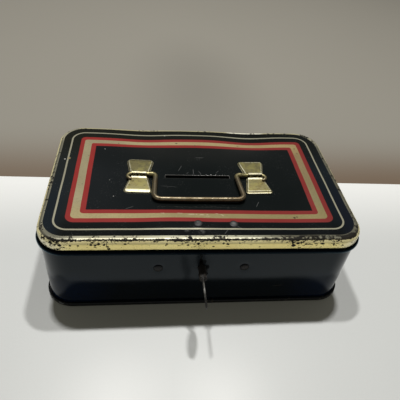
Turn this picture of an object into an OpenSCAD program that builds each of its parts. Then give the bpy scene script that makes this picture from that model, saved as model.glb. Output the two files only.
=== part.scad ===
// Hinged tin money box: a tinplate box with a seamed base and a hinged lid, a coin slot
// and a wire handle in the lid, and a small sliding-bolt lock with its key in the front.
// X runs along the front, Y runs to the back and Z is up. The origin is on the table,
// under the middle of the box.

/* [Body] */
// Length of the body over its walls, left to right
body_l = 180.4; // [160:0.2:210]
// Depth of the body over its walls, front to back
body_d = 108.4; // [95:0.2:130]
// Radius of the body's upright corners, outside
corner_r = 15; // [11:0.5:20]
// Height of the middle of the rim bead above the table
bead_z = 47.1; // [40:0.1:60]
// Radius of the rounded rim bead
bead_r = 1.1; // [1:0.05:1.3]
// How far the rim bead and the base seam stand out from the wall
bead_out = 1.5; // [1.3:0.05:1.8]
// Height of the seam round the base
seam_h = 2.6; // [2.2:0.1:3.5]
// Thickness of the tinplate
tin = 0.4; // [0.35:0.01:0.45]

/* [Lid] */
// Height of the lid, from the lower edge of its rim to its top face
lid_h = 6.3; // [5.5:0.1:8]
// Radius of the lid's rounded shoulder
shoulder_r = 3; // [2.4:0.1:3.6]
// How far the lid's rim stands out from the body's wall
lid_proud = 0.2; // [0.1:0.05:0.4]
// Gap between the lid's rim and the bead that it closes on
lid_gap = 0.3; // [0.25:0.05:0.5]
// Gap between the lid's rim and the neck inside it
neck_gap = 0.5; // [0.4:0.05:0.7]
// Gap between the top of the neck and the lid's shoulder
neck_clear = 0.4; // [0.3:0.05:0.8]
// Height of the neck's folded edge
hem_h = 2.4; // [1.5:0.1:3]

/* [Coin slot] */
// Length of the coin slot
slot_l = 40.2; // [34:0.2:44]
// Width of the coin slot
slot_w = 2.8; // [2.4:0.1:3.6]
// Depth of the lips turned down along the slot, from the lid's top face
slot_lip = 2; // [1:0.1:3]
// Distance of the middle of the slot to the left of the middle of the lid
slot_shift = 1.2; // [0:0.1:3]

/* [Hinge] */
// Distance between the middles of the two hinge tongues
hinge_span = 90; // [60:1:100]
// Width of a hinge tongue
tongue_w = 14; // [10:0.5:18]
// Diameter of the hinge wire
hinge_wire_d = 1.1; // [1:0.02:1.16]
// Length of the hinge wire
hinge_wire_l = 128; // [124:1:132]
// Radial gap between the hinge wire and the curled tongues
hinge_fit = 0.06; // [0.04:0.01:0.1]
// Gap between a tongue and the edges of its slot in the bead
tongue_gap = 0.4; // [0.3:0.05:0.6]

/* [Handle] */
// Width of the handle between the middles of its two legs
grip_w = 51.8; // [46:0.2:60]
// Distance from the handle's pivot to the middle of its bar
grip_reach = 23; // [18:0.1:30]
// Distance of the handle's middle to the left of the middle of the box
grip_left = 1.5; // [0:0.1:4]
// Diameter of the handle's wire
grip_d = 3; // [2.4:0.1:3.6]
// Diameter of the handle's drawn-down ends
pivot_d = 2.2; // [1.8:0.1:2.4]
// Radius of the bends between the legs and the bar, on the wire's middle
grip_bend = 3.8; // [3:0.1:6]
// Radius of the bends at the pivot ends, on the wire's middle
pivot_bend = 2.6; // [2.2:0.1:3.2]
// Length of an end that shows between the barrel and its hook
hook_gap = 0.8; // [0.6:0.1:2]
// Length of the straight tip of each end hook
hook_tip = 0.8; // [0.4:0.1:1.5]
// Gap between the handle and the lid that it lies on
handle_clear = 0.35; // [0.3:0.05:0.6]

/* [Handle clips] */
// Length of a clip, front to back
clip_l = 32; // [24:0.5:34]
// Width of a clip at its ends
clip_w = 17; // [15:0.5:19]
// Width of a clip at its middle, which is the length of its barrel
clip_waist = 8; // [7:0.5:11]
// Thickness of the clip's sheet
clip_sheet = 0.5; // [0.4:0.05:0.6]
// Height of the clip's embossed pads
pad_h = 1.1; // [0.9:0.05:1.4]
// Width of the sloped edge round a pad
pad_slope = 0.9; // [0.6:0.1:1.2]
// Radius of the clip's outer corners
clip_corner = 1.6; // [1.2:0.1:2.4]
// Radial gap between the handle's ends and the barrels
pivot_fit = 0.08; // [0.05:0.01:0.1]
// Gap between the handle's legs and the clips beside them
clip_side_gap = 0.5; // [0.4:0.05:1]
// Width of a clip's tab
tab_w = 6; // [4:0.2:7]
// Length of a tab's bent end, under the lid
tab_l = 4; // [3:0.1:5]
// Distance of a tab from the clip's end
tab_in = 3.5; // [3:0.1:4.5]

/* [Lock] */
// Distance of the key's axis below the middle of the rim bead
lock_drop = 14.3; // [14:0.1:16]
// Distance of the key's axis to the left of the middle of the box
lock_left = 1.5; // [0:0.1:4]
// Distance between the two rivets of the lock
lock_rivet_pitch = 49; // [46:0.2:52]
// Thickness of the lock's sheet
lock_sheet = 0.6; // [0.5:0.05:0.8]
// Depth of the lock's case behind the wall
case_depth = 7.4; // [7:0.1:9]
// Length of the case to the left of the key's axis
case_left = 17; // [16.8:0.1:18.5]
// Distance of the case's lower edge below the key's axis
case_low = 6.2; // [5:0.1:8]
// Height of the lock's ears
ear_h = 9; // [7.5:0.1:11]
// Distance of the middle of the bolt behind the wall
bolt_in = 3.8; // [3.6:0.05:4.2]
// Thickness of the bolt
bolt_t = 1.4; // [1.2:0.05:1.6]
// Height of the bolt's lower edge above the key's axis
bolt_low = 4.9; // [4.6:0.05:5.2]
// Height of the strip of the bolt above its notch
bolt_strip = 2; // [1.7:0.05:2.2]
// Width of the bolt beside its notch
bolt_flank = 2; // [1.6:0.1:2.4]
// Height of the bolt's nose
nose_h = 3; // [2.6:0.05:3.1]
// Gap round the bolt where it slides
slide_gap = 0.15; // [0.1:0.01:0.25]
// Gap between the key's bit and the bolt's notch
notch_gap = 0.35; // [0.3:0.01:0.5]
// Diameter of the bolt's guide stud
stud_d = 2; // [1.8:0.05:2.2]
// Thickness of the leaf spring over the bolt
spring_t = 0.3; // [0.2:0.02:0.35]
// Width of the leaf spring
spring_w = 3; // [2.4:0.1:3.4]

/* [Lid catch] */
// Thickness of the lid catch
catch_t = 0.8; // [0.7:0.05:0.9]
// Gap between the lock's case and the catch's leg
leg_gap = 0.7; // [0.5:0.05:1]
// Height of the catch's hook under its notch
hook_h = 3; // [2.4:0.1:3.4]
// Width of the catch's leg
leg_w = 8.6; // [8:0.1:9.5]
// Distance of the catch's rivets behind the front wall's outer face
catch_rivet_in = 12.9; // [11.5:0.1:16]
// Distance between the catch's two rivets
catch_rivet_pitch = 19.9; // [18.5:0.1:22]
// Distance of the middle of the catch to the right of the key's axis
catch_right = 7; // [6:0.1:8]
// Width of the catch's plate beyond its rivets
catch_edge = 4.5; // [3.5:0.1:6]

/* [Rivets] */
// Diameter of a rivet's shank
shank_d = 2.5; // [2.2:0.05:2.7]
// Diameter of a rivet's head
rivet_head_d = 5.2; // [4:0.1:6]
// Height of a rivet's head
rivet_head_h = 0.7; // [0.5:0.05:1]
// Radial gap between a rivet and its hole
rivet_fit = 0.04; // [0.03:0.01:0.06]

/* [Key] */
// Diameter of the key's barrel
key_d = 4.4; // [4.2:0.1:4.6]
// Diameter of the fixed pin that enters the key
pin_d = 2; // [1.8:0.05:2.1]
// Radial gap between the pin and what turns on it
pin_fit = 0.05; // [0.03:0.01:0.08]
// Distance that the barrel stands out of the wall
key_out = 8; // [6:0.1:12]
// Reach of the key's bit from its axis
bit_r = 7.4; // [7.2:0.05:7.6]
// Thickness of the bit
bit_t = 1.6; // [1.4:0.05:1.8]
// Length of the bit along the key
bit_l = 2; // [1.8:0.1:2.2]
// Diameter of the key's round bow
bow_d = 16; // [12:0.2:20]
// Thickness of the bow
bow_t = 1.2; // [1:0.05:1.4]
// Width of the bow's tang
tang_w = 3.2; // [2.8:0.1:3.6]
// Diameter of the hole in the bow
bow_hole_d = 3.6; // [2:0.1:3.8]
// Lean of the keyhole and the key to the left, in degrees
key_lean = 10; // [6:0.5:12]
// Turn of the key that shoots the bolt, in degrees
key_turn = 50; // [46:0.5:52]
// Gap round the key in the keyhole
keyhole_gap = 0.3; // [0.25:0.01:0.4]

/* [Hidden] */
$fn = 64;

// A small gap between pieces that are folded or pressed together
seat = 0.05;
// How far a cut runs past what it cuts
past = 1;

// Body: sections are drawn with x outward from the wall's outer face
seam_roll = bead_out / 2;
bead_x = bead_out - bead_r;
bead_top = bead_z + bead_r;
lid_low = bead_top + lid_gap;
lid_top = lid_low + lid_h;
lid_under = lid_top - tin;
shoulder_in = shoulder_r - tin;
neck_x = lid_proud - tin - neck_gap;
neck_top = lid_top - shoulder_r
    + sqrt(pow(shoulder_in, 2) - pow(shoulder_in - neck_gap, 2)) - neck_clear;

// Hinge
hinge_y = body_d / 2 + bead_x;
curl_in = hinge_wire_d / 2 + hinge_fit;
curl_r = curl_in + tin;

// Handle
pivot_z = lid_top + handle_clear + grip_d / 2;
leg_x = grip_w / 2;
grip_x = -grip_left;
clip_x = leg_x + grip_d / 2 + clip_side_gap + clip_w / 2;
barrel_in = pivot_d / 2 + pivot_fit;
barrel_r = barrel_in + clip_sheet;
hook_x = clip_x + clip_waist / 2 + hook_gap;
hook_bend = pivot_d;
tab_y = clip_l / 2 - tab_in;
pad_behind = 0.5;
neck_in = 0.6;
pin_root = 0.5;

// Lock: u runs to the right of the key's axis and v runs up from it
lock_x = -lock_left;
lock_z = bead_z - lock_drop;
wall_in = -body_d / 2 + tin;
bolt_y = wall_in + bolt_in;
case_back = wall_in + case_depth;
push_r = bit_r - 1;
bolt_throw = push_r * (sin(key_turn - key_lean) + sin(key_lean));
steps = [0 : 0.1 : 1];
function bit_angle(s) = s * key_turn - key_lean;
function bit_lead(s) = bit_r * sin(bit_angle(s)) + bit_t / 2 * cos(bit_angle(s)) - s * bolt_throw;
function bit_trail(s) = min(
    bit_r * sin(bit_angle(s)) - bit_t / 2 * cos(bit_angle(s)),
    bolt_low * tan(bit_angle(s)) - bit_t / 2 / cos(bit_angle(s))) - s * bolt_throw;
notch_u1 = max([for (s = steps) bit_lead(s)]) + notch_gap;
notch_u0 = min([for (s = steps) bit_trail(s)]) - notch_gap;
notch_top = bit_r + notch_gap;
bolt_top = notch_top + bolt_strip;
nose_step = 0.2;
bolt_u0 = -case_left + lock_sheet + notch_gap;
bolt_u1 = notch_u1 + bolt_flank;
case_right = bolt_u1 + bolt_throw + notch_gap + lock_sheet;
nose_tip = case_right + slide_gap;
nose_v = bolt_top - nose_step - nose_h / 2;
spring_room = 1.2;
case_top = bolt_top + spring_room + lock_sheet;
stud_u = bolt_u0 + bolt_flank + bolt_throw + stud_d / 2;
stud_v = (bolt_low + bolt_top) / 2;
stud_head_d = stud_d + 1.6;
stud_head_h = 0.5;
spring_u0 = -case_left + lock_sheet + notch_gap;
spring_foot = 4.4;
spring_blade = 10;
spring_drop = spring_room - spring_t - seat - slide_gap;
spring_rivet_d = 1.6;
spring_head_d = 2.6;
spring_head_h = 0.45;

// Lid catch
leg_u0 = case_right + leg_gap;
leg_x0 = lock_x + leg_u0;
catch_x = lock_x + catch_right;
catch_rivet_y = -body_d / 2 + catch_rivet_in;
catch_front = bolt_y - catch_t / 2;
catch_half = catch_rivet_pitch / 2 + catch_edge;
catch_head_h = 0.7 * rivet_head_h;
leg_low = lock_z + nose_v - nose_h / 2 - notch_gap - hook_h;
catch_notch = nose_tip + bolt_throw + notch_gap - leg_u0;

// Key
plate_in = case_back - lock_sheet;
pin_collar_h = 0.6;
pin_play = 0.1;
pin_collar_d = pin_d + 1.5;
key_play = 0.7;
key_tip = plate_in - pin_play - pin_collar_h - key_play;
key_end = -body_d / 2 - key_out;
bore_out = 1.5;
key_bore_end = -body_d / 2 - bore_out;
tang_l = 2.6;
tang_end = key_end + tang_l;
bow_gap = 1.4;
bow_y = key_end - bow_gap - bow_d / 2;

// The outline of the box, grown outward by s
module outline(s) {
    l = body_l + 2 * s;
    d = body_d + 2 * s;
    r = corner_r + s;
    square([l - 2 * r, d], center = true);
    square([l, d - 2 * r], center = true);
    for (x = [-1, 1], y = [-1, 1]) translate([x * (l / 2 - r), y * (d / 2 - r)]) circle(r);
}

// Sweeps a section round the outline: its x is outward from the wall and its y is up
module around() {
    half = [body_l / 2 - corner_r, body_d / 2 - corner_r];
    for (q = [0 : 3]) rotate([0, 0, 90 * q]) translate([half[q % 2], half[(q + 1) % 2], 0]) {
        rotate([90, 0, 0]) linear_extrude(2 * half[(q + 1) % 2]) translate([corner_r, 0]) children();
        rotate_extrude(angle = 90) translate([corner_r, 0]) children();
    }
}

// A low dome that stands on z = 0
module dome(d, h) {
    r = (d * d / 4 + h * h) / (2 * h);
    intersection() {
        translate([0, 0, h - r]) sphere(r);
        cylinder(d = 2 * d, h = 2 * h);
    }
}

// A rivet along z: its domed head stands on z = 0 and its shank goes down through the grip
module rivet(d, head_d, head_h, grip) {
    tail_h = head_h * 0.8;
    dome(head_d, head_h);
    translate([0, 0, -grip - tail_h]) cylinder(d = d, h = grip + tail_h + head_h / 2);
    translate([0, 0, -grip - tail_h]) cylinder(d = 1.5 * d, h = tail_h);
}

// Puts what is drawn along z at a place of the lock, pointing out of the front wall
module at_lock(u, v, y) {
    translate([lock_x + u, y, lock_z + v]) rotate([90, 0, 0]) children();
}

// A block of the lock between two corners, from y0 to y1
module lock_block(u0, u1, v0, v1, y0, y1) {
    translate([lock_x + u0, y0, lock_z + v0]) cube([u1 - u0, y1 - y0, v1 - v0]);
}

module body_section() {
    roof = bead_top - tin;
    difference() {
        union() {
            translate([-tin, tin + seat]) square([tin, bead_z - tin - seat]);
            translate([bead_x, bead_z]) circle(bead_r);
            translate([-tin, bead_z - bead_r]) square([bead_x + tin, 2 * bead_r]);
        }
        translate([bead_x, bead_z]) circle(bead_r - tin);
        translate([-2 * tin, bead_z - bead_r + tin]) square([bead_x + 2 * tin, 2 * (bead_r - tin)]);
    }
    translate([neck_x - tin, roof]) square([bead_x - neck_x + tin, tin]);
    translate([neck_x - tin, roof]) square([tin, neck_top - roof]);
    translate([neck_x - 2 * tin, neck_top - hem_h]) square([2 * tin, hem_h]);
}

module body_shell() color("#15191f") difference() {
    around() body_section();
    // Keyhole, leaned like the key
    translate([lock_x, wall_in + past, lock_z]) rotate([0, -key_lean, 0]) {
        rotate([90, 0, 0]) cylinder(d = key_d + 2 * keyhole_gap, h = tin + 2 * past);
        translate([-bit_t / 2 - keyhole_gap, -tin - 2 * past, 0])
            cube([bit_t + 2 * keyhole_gap, tin + 2 * past, bit_r + keyhole_gap]);
    }
    // Rivet holes of the lock
    for (s = [-1, 1]) at_lock(s * lock_rivet_pitch / 2, 0, wall_in + past)
        cylinder(d = shank_d + 2 * rivet_fit, h = tin + 2 * past);
    // Slots in the bead for the lid's tongues
    for (s = [-1, 1]) translate([s * hinge_span / 2, hinge_y, bead_z]) rotate([0, 90, 0])
        cylinder(r = curl_r + tongue_gap, h = tongue_w + 2 * tongue_gap, center = true);
}

module seam_section() {
    for (z = [seam_roll, seam_h - seam_roll]) translate([bead_out - seam_roll, z]) circle(seam_roll);
    translate([bead_out - seam_roll, seam_roll]) square([seam_roll, seam_h - 2 * seam_roll]);
    translate([seat, 0]) square([bead_out - seam_roll - seat, seam_h]);
    translate([-2 * tin - seat, 0]) square([bead_out - seam_roll + 2 * tin + seat, tin]);
    translate([-2 * tin - seat, 0]) square([tin, seam_h]);
}

module base_panel() color("#1a1c20") {
    around() seam_section();
    translate([0, 0, seam_h - tin]) linear_extrude(tin) outline(-1.5 * tin - seat);
}

module hinge_wire() color("#6b6250")
    translate([0, hinge_y, bead_z]) rotate([0, 90, 0])
        cylinder(d = hinge_wire_d, h = hinge_wire_l, center = true);

module lock_case() color("#55534c") difference() {
    union() {
        lock_block(-case_left, case_right, -case_low, case_top, wall_in, case_back);
        lock_block(-lock_rivet_pitch / 2, lock_rivet_pitch / 2, -ear_h / 2, ear_h / 2,
            wall_in, wall_in + lock_sheet);
        for (s = [-1, 1]) at_lock(s * lock_rivet_pitch / 2, 0, wall_in + lock_sheet)
            cylinder(d = ear_h, h = lock_sheet);
    }
    // The inside of the pan
    lock_block(-case_left + lock_sheet, case_right - lock_sheet, -case_low + lock_sheet,
        case_top - lock_sheet, wall_in - past, case_back - lock_sheet);
    // The window that the bolt's nose slides through
    lock_block(case_right - 2 * lock_sheet, case_right + lock_sheet,
        nose_v - nose_h / 2 - slide_gap, nose_v + nose_h / 2 + slide_gap,
        bolt_y - bolt_t / 2 - slide_gap, bolt_y + bolt_t / 2 + slide_gap);
    for (s = [-1, 1]) at_lock(s * lock_rivet_pitch / 2, 0, wall_in + lock_sheet + past)
        cylinder(d = shank_d + 2 * rivet_fit, h = lock_sheet + 2 * past);
    at_lock(0, 0, case_back + past) cylinder(r = pin_d / 2 + pin_fit, h = lock_sheet + 2 * past);
    at_lock(stud_u, stud_v, case_back + past)
        cylinder(d = stud_d + 2 * rivet_fit, h = lock_sheet + 2 * past);
    translate([lock_x + spring_u0 + spring_foot / 2, bolt_y, lock_z + case_top - lock_sheet - past])
        cylinder(d = spring_rivet_d + 2 * rivet_fit, h = lock_sheet + 2 * past);
}

module lock_rivets() color("#3a3733")
    for (s = [-1, 1]) at_lock(s * lock_rivet_pitch / 2, 0, -body_d / 2)
        rivet(shank_d, rivet_head_d, rivet_head_h, tin + lock_sheet);

module guide_stud() color("#7d7a70") {
    bolt_back = bolt_y + bolt_t / 2 + slide_gap;
    bolt_front = bolt_y - bolt_t / 2 - slide_gap;
    stud_back = case_back + stud_head_h;
    at_lock(stud_u, stud_v, stud_back) cylinder(d = stud_d, h = stud_back - bolt_front);
    at_lock(stud_u, stud_v, stud_back) cylinder(d = stud_head_d, h = stud_head_h);
    at_lock(stud_u, stud_v, plate_in) cylinder(d = stud_head_d, h = plate_in - bolt_back);
    at_lock(stud_u, stud_v, bolt_front) cylinder(d = stud_head_d, h = stud_head_h);
}

module bolt_spring() color("#8d8a80") {
    foot_v = case_top - lock_sheet - seat - spring_t;
    difference() {
        lock_block(spring_u0, spring_u0 + spring_foot, foot_v, foot_v + spring_t,
            bolt_y - spring_w / 2, bolt_y + spring_w / 2);
        translate([lock_x + spring_u0 + spring_foot / 2, bolt_y, lock_z + foot_v - past])
            cylinder(d = spring_rivet_d + 2 * rivet_fit, h = spring_t + 2 * past);
    }
    // The blade bends down until it almost rests on the bolt
    translate([lock_x + spring_u0 + spring_foot, bolt_y - spring_w / 2, lock_z + foot_v])
        rotate([0, atan(spring_drop / spring_blade), 0]) translate([-spring_t, 0, 0])
            cube([spring_blade + spring_t, spring_w, spring_t]);
}

module spring_rivet() color("#7d7a70")
    translate([lock_x + spring_u0 + spring_foot / 2, bolt_y, lock_z + case_top])
        rivet(spring_rivet_d, spring_head_d, spring_head_h, lock_sheet + seat + spring_t);

module bolt() color("#8f8c82") difference() {
    y0 = bolt_y - bolt_t / 2;
    y1 = bolt_y + bolt_t / 2;
    slot_r = stud_d / 2 + slide_gap;
    union() {
        lock_block(bolt_u0, bolt_u1, bolt_low, bolt_top, y0, y1);
        lock_block(bolt_u1 - past, nose_tip, nose_v - nose_h / 2, nose_v + nose_h / 2, y0, y1);
    }
    // The notch that the key's bit pushes
    lock_block(notch_u0, notch_u1, bolt_low - past, notch_top, y0 - past, y1 + past);
    // The slot that rides on the guide stud
    lock_block(stud_u - bolt_throw, stud_u, stud_v - slot_r, stud_v + slot_r, y0 - past, y1 + past);
    for (u = [stud_u - bolt_throw, stud_u]) at_lock(u, stud_v, y1 + past)
        cylinder(r = slot_r, h = bolt_t + 2 * past);
}

module drill_pin() color("#8d8a80") {
    pin_back = case_back + pin_play + pin_collar_h;
    at_lock(0, 0, pin_back) cylinder(d = pin_d, h = pin_back + body_d / 2);
    for (y = [pin_back, plate_in - pin_play]) at_lock(0, 0, y) cylinder(d = pin_collar_d, h = pin_collar_h);
}

// Turns what follows about the key's axis, to the key's lean
module leaned() {
    translate([lock_x, 0, lock_z]) rotate([0, -key_lean, 0]) children();
}

module key_barrel() color("#4a4640") leaned() difference() {
    union() {
        translate([0, key_tip, 0]) rotate([90, 0, 0]) cylinder(d = key_d, h = key_tip - key_end);
        translate([-bit_t / 2, bolt_y - bit_l / 2, 0]) cube([bit_t, bit_l, bit_r]);
    }
    translate([0, key_tip + past, 0]) rotate([90, 0, 0])
        cylinder(r = pin_d / 2 + pin_fit, h = key_tip + past - key_bore_end);
    // The slit that holds the bow's tang
    translate([-bow_t / 2 - seat, key_end - past, -key_d])
        cube([bow_t + 2 * seat, tang_end + seat - key_end + past, 2 * key_d]);
}

module key_bow() color("#a5a196") leaned() {
    difference() {
        translate([-bow_t / 2, bow_y, 0]) rotate([0, 90, 0]) cylinder(d = bow_d, h = bow_t);
        translate([-bow_t, bow_y, 0]) rotate([0, 90, 0]) cylinder(d = bow_hole_d, h = 2 * bow_t);
    }
    translate([-bow_t / 2, bow_y + bow_d / 2 - past, -tang_w / 2])
        cube([bow_t, tang_end - bow_y - bow_d / 2 + past, tang_w]);
}

module lid_section() {
    translate([lid_proud - tin, lid_low]) square([tin, lid_h - shoulder_r]);
    translate([lid_proud - shoulder_r, lid_top - shoulder_r]) intersection() {
        difference() {
            circle(shoulder_r);
            circle(shoulder_in);
        }
        square(shoulder_r);
    }
}

module hinge_tongue() {
    difference() {
        union() {
            rotate([0, 90, 0]) cylinder(r = curl_r, h = tongue_w, center = true);
            translate([-tongue_w / 2, lid_proud - tin - bead_x, 0])
                cube([tongue_w, tin, lid_low + past - bead_z]);
        }
        rotate([0, 90, 0]) cylinder(r = curl_in, h = tongue_w + 2 * past, center = true);
    }
}

module lid_shell() color("#b9ad72") {
    difference() {
        union() {
            around() lid_section();
            translate([0, 0, lid_under]) linear_extrude(tin) outline(lid_proud - shoulder_r);
            // Lips turned down along the coin slot
            for (s = [-1, 1])
                translate([-slot_shift - slot_l / 2, s * (slot_w + tin) / 2 - tin / 2, lid_top - slot_lip])
                    cube([slot_l, tin, slot_lip]);
        }
        translate([-slot_shift - slot_l / 2, -slot_w / 2, lid_under - past])
            cube([slot_l, slot_w, tin + 2 * past]);
        for (x = [grip_x - clip_x, grip_x + clip_x], y = [-tab_y, tab_y])
            translate([x - tab_w / 2 - seat, y - clip_sheet / 2 - seat, lid_under - past])
                cube([tab_w + 2 * seat, clip_sheet + 2 * seat, tin + 2 * past]);
        for (s = [-1, 1])
            translate([catch_x + s * catch_rivet_pitch / 2, catch_rivet_y, lid_under - past])
                cylinder(d = shank_d + 2 * rivet_fit, h = tin + 2 * past);
    }
    for (s = [-1, 1]) translate([s * hinge_span / 2, hinge_y, bead_z]) hinge_tongue();
}

module lid_catch() color("#7f7b70") difference() {
    plate_back = catch_rivet_y + catch_edge;
    union() {
        translate([catch_x - catch_half, catch_front, lid_under - catch_t])
            cube([2 * catch_half, plate_back - catch_front, catch_t]);
        translate([leg_x0, catch_front, leg_low]) cube([leg_w, catch_t, lid_under - leg_low]);
    }
    for (s = [-1, 1])
        translate([catch_x + s * catch_rivet_pitch / 2, catch_rivet_y, lid_under - 2 * catch_t])
            cylinder(d = shank_d + 2 * rivet_fit, h = 3 * catch_t);
    // The notch that the bolt's nose enters
    lock_block(leg_u0 - past, leg_u0 + catch_notch, nose_v - nose_h / 2 - notch_gap,
        nose_v + nose_h / 2 + notch_gap, catch_front - past, catch_front + catch_t + past);
}

module catch_rivets() color("#8b8877")
    for (s = [-1, 1]) translate([catch_x + s * catch_rivet_pitch / 2, catch_rivet_y, lid_top])
        rivet(shank_d, rivet_head_d, catch_head_h, tin + catch_t);

// One half of a clip: its embossed pad, its neck up to the barrel and its tab
module clip_wing() {
    y0 = barrel_r + pad_behind + clip_corner;
    y1 = clip_l / 2 - clip_corner;
    x0 = clip_waist / 2 - clip_corner / 2;
    x1 = clip_w / 2 - clip_corner;
    hull() for (p = [[x0, y0], [x1, y1]], s = [-1, 1]) {
        translate([s * p[0], p[1], 0]) cylinder(r = clip_corner, h = clip_sheet, $fn = 32);
        translate([s * p[0], p[1], 0]) cylinder(r = clip_corner - pad_slope, h = pad_h, $fn = 32);
    }
    translate([neck_in - clip_waist / 2, barrel_in, 0])
        cube([clip_waist - 2 * neck_in, y0 - barrel_in, clip_sheet]);
    // The tab goes through the lid and is bent inward under it
    translate([-tab_w / 2, tab_y - clip_sheet / 2, -tin - seat - clip_sheet])
        cube([tab_w, clip_sheet, tin + seat + clip_sheet + clip_sheet / 2]);
    translate([-tab_w / 2, tab_y - tab_l, -tin - seat - clip_sheet]) cube([tab_w, tab_l, clip_sheet]);
}

module handle_clip(side) color("#a39c5c") translate([grip_x + side * clip_x, 0, lid_top]) {
    rise = pivot_z - lid_top;
    difference() {
        union() {
            translate([-clip_waist / 2, 0, rise]) rotate([0, 90, 0]) cylinder(r = barrel_r, h = clip_waist);
            translate([-clip_waist / 2, -barrel_r, 0]) cube([clip_waist, 2 * barrel_r, rise]);
        }
        translate([-clip_waist / 2 - past, 0, rise]) rotate([0, 90, 0])
            cylinder(r = barrel_in, h = clip_waist + 2 * past);
        translate([-clip_waist / 2 - past, -barrel_in, -past])
            cube([clip_waist + 2 * past, 2 * barrel_in, rise + past]);
    }
    clip_wing();
    mirror([0, 1, 0]) clip_wing();
}

// A quarter bend of wire: it runs from [r, 0] to [0, r] about the middle of the bend
module bend(r, d) rotate_extrude(angle = 90) translate([r, 0]) circle(d = d);

module rod(d, l) rotate([90, 0, 0]) cylinder(d = d, h = l);

module half_handle() {
    bar = leg_x - grip_bend;
    leg = grip_reach - grip_bend - pivot_bend;
    pin_x = leg_x + pivot_bend;
    translate([0, -grip_reach, 0]) rotate([0, 0, 90]) rod(grip_d, bar);
    translate([bar, -grip_reach + grip_bend, 0]) rotate([0, 0, -90]) bend(grip_bend, grip_d);
    translate([leg_x, -pivot_bend, 0]) rod(grip_d, leg);
    translate([pin_x, -pivot_bend, 0]) rotate([0, 0, 90]) bend(pivot_bend, grip_d);
    translate([pin_x - pin_root, 0, 0]) rotate([0, 0, 90]) rod(pivot_d, hook_x - pin_x + pin_root);
    translate([hook_x, -hook_bend, 0]) bend(hook_bend, pivot_d);
    translate([hook_x + hook_bend, -hook_bend, 0]) rod(pivot_d, hook_tip);
}

module handle_wire() color("#6d5d40") translate([grip_x, 0, pivot_z]) {
    half_handle();
    mirror([1, 0, 0]) half_handle();
}

body_shell();
base_panel();
hinge_wire();
lock_case();
lock_rivets();
guide_stud();
bolt_spring();
spring_rivet();
bolt();
drill_pin();
key_barrel();
key_bow();
lid_shell();
lid_catch();
catch_rivets();
handle_clip(-1);  // handle_clip_left
handle_clip(1);  // handle_clip_right
handle_wire();
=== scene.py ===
"""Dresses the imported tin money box: its printed lid, wire handle, embossed clips, lacquered
body, lock and key, and the table that it stands on. Lengths in the helpers below are in
millimetres, in the shared frame, and become metres when a mesh is made."""

import math

import bmesh
import bpy
from mathutils import Matrix, Vector, noise


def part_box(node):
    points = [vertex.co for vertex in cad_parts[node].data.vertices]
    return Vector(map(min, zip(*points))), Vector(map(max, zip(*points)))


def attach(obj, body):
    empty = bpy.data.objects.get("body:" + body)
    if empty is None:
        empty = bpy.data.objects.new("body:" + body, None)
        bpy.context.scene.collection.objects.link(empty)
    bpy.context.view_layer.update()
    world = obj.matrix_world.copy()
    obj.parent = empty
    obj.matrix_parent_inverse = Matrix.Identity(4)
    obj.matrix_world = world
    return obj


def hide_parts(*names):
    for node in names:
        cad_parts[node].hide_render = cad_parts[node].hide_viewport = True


bl_info = {
    "name": "Tin money box",
    "version": (1, 0, 0),
    "blender": (4, 5, 0),
    "location": "View3D > Sidebar > Money box",
    "description": "Builds the looks of a hinged tin money box round its packed model",
    "category": "Object",
}

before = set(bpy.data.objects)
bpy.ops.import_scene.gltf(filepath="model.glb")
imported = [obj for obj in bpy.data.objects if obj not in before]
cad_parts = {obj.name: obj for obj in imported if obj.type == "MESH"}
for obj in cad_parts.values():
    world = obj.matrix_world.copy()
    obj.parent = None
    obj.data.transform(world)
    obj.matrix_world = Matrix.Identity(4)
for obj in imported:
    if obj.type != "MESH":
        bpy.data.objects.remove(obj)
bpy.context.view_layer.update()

# Metres in a millimetre, and millimetres in a metre
MM, TO_MM = 0.001, 1000.0


def corners(node):
    """The lowest and the highest corner of a CAD node, in millimetres."""
    return [[round(value * TO_MM, 2) for value in corner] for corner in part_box(node)]


def centre(node):
    """The middle of a CAD node's box, in millimetres."""
    return [round((low + high) / 2, 2) for low, high in zip(*corners(node))]


# Sizes that the solids' boxes don't show: the sheet, the lid, its slot, the bead and the neck
TIN, CORNER = 0.4, 15.0
LID_LOW, SHOULDER, LID_PROUD = 48.5, 3.0, 0.2
SLOT_HALF_L, SLOT_HALF_W, SLOT_CORNER, SLOT_X, SLOT_LIP = 20.1, 1.4, 0.5, -1.2, 2.0
BEAD_R, BEAD_X = 1.1, 0.4
NECK_OUT, HEM_H = -0.7, 2.4

# The rest of them: the hinge tongues, the wire handle, the clips, the rivet heads and the key
HINGE_X, TONGUE_HALF = 45.0, 7.0
HANDLE_X, LEG_X, GRIP_Y, HOOK_X = -1.75, 25.9, -22.95, 40.0
CLIP_LEFT, CLIP_RIGHT, CLIP_END, BARREL_HALF, TAB_Y = -37.3, 35.0, 15.9, 4.4, 12.5
RIVET_R, BOW_R, BOW_HOLE_R, KEY_LEAN = 2.6, 8.0, 1.8, -10

# The outline and the heights of the box and its lid, from the solids
lid_lowest, lid_highest = corners("lid_shell")
HALF_L, HALF_D = lid_highest[0] - LID_PROUD, -lid_lowest[1] - LID_PROUD
LID_TOP, NECK_TOP = lid_highest[2], corners("body_shell")[1][2]

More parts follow.
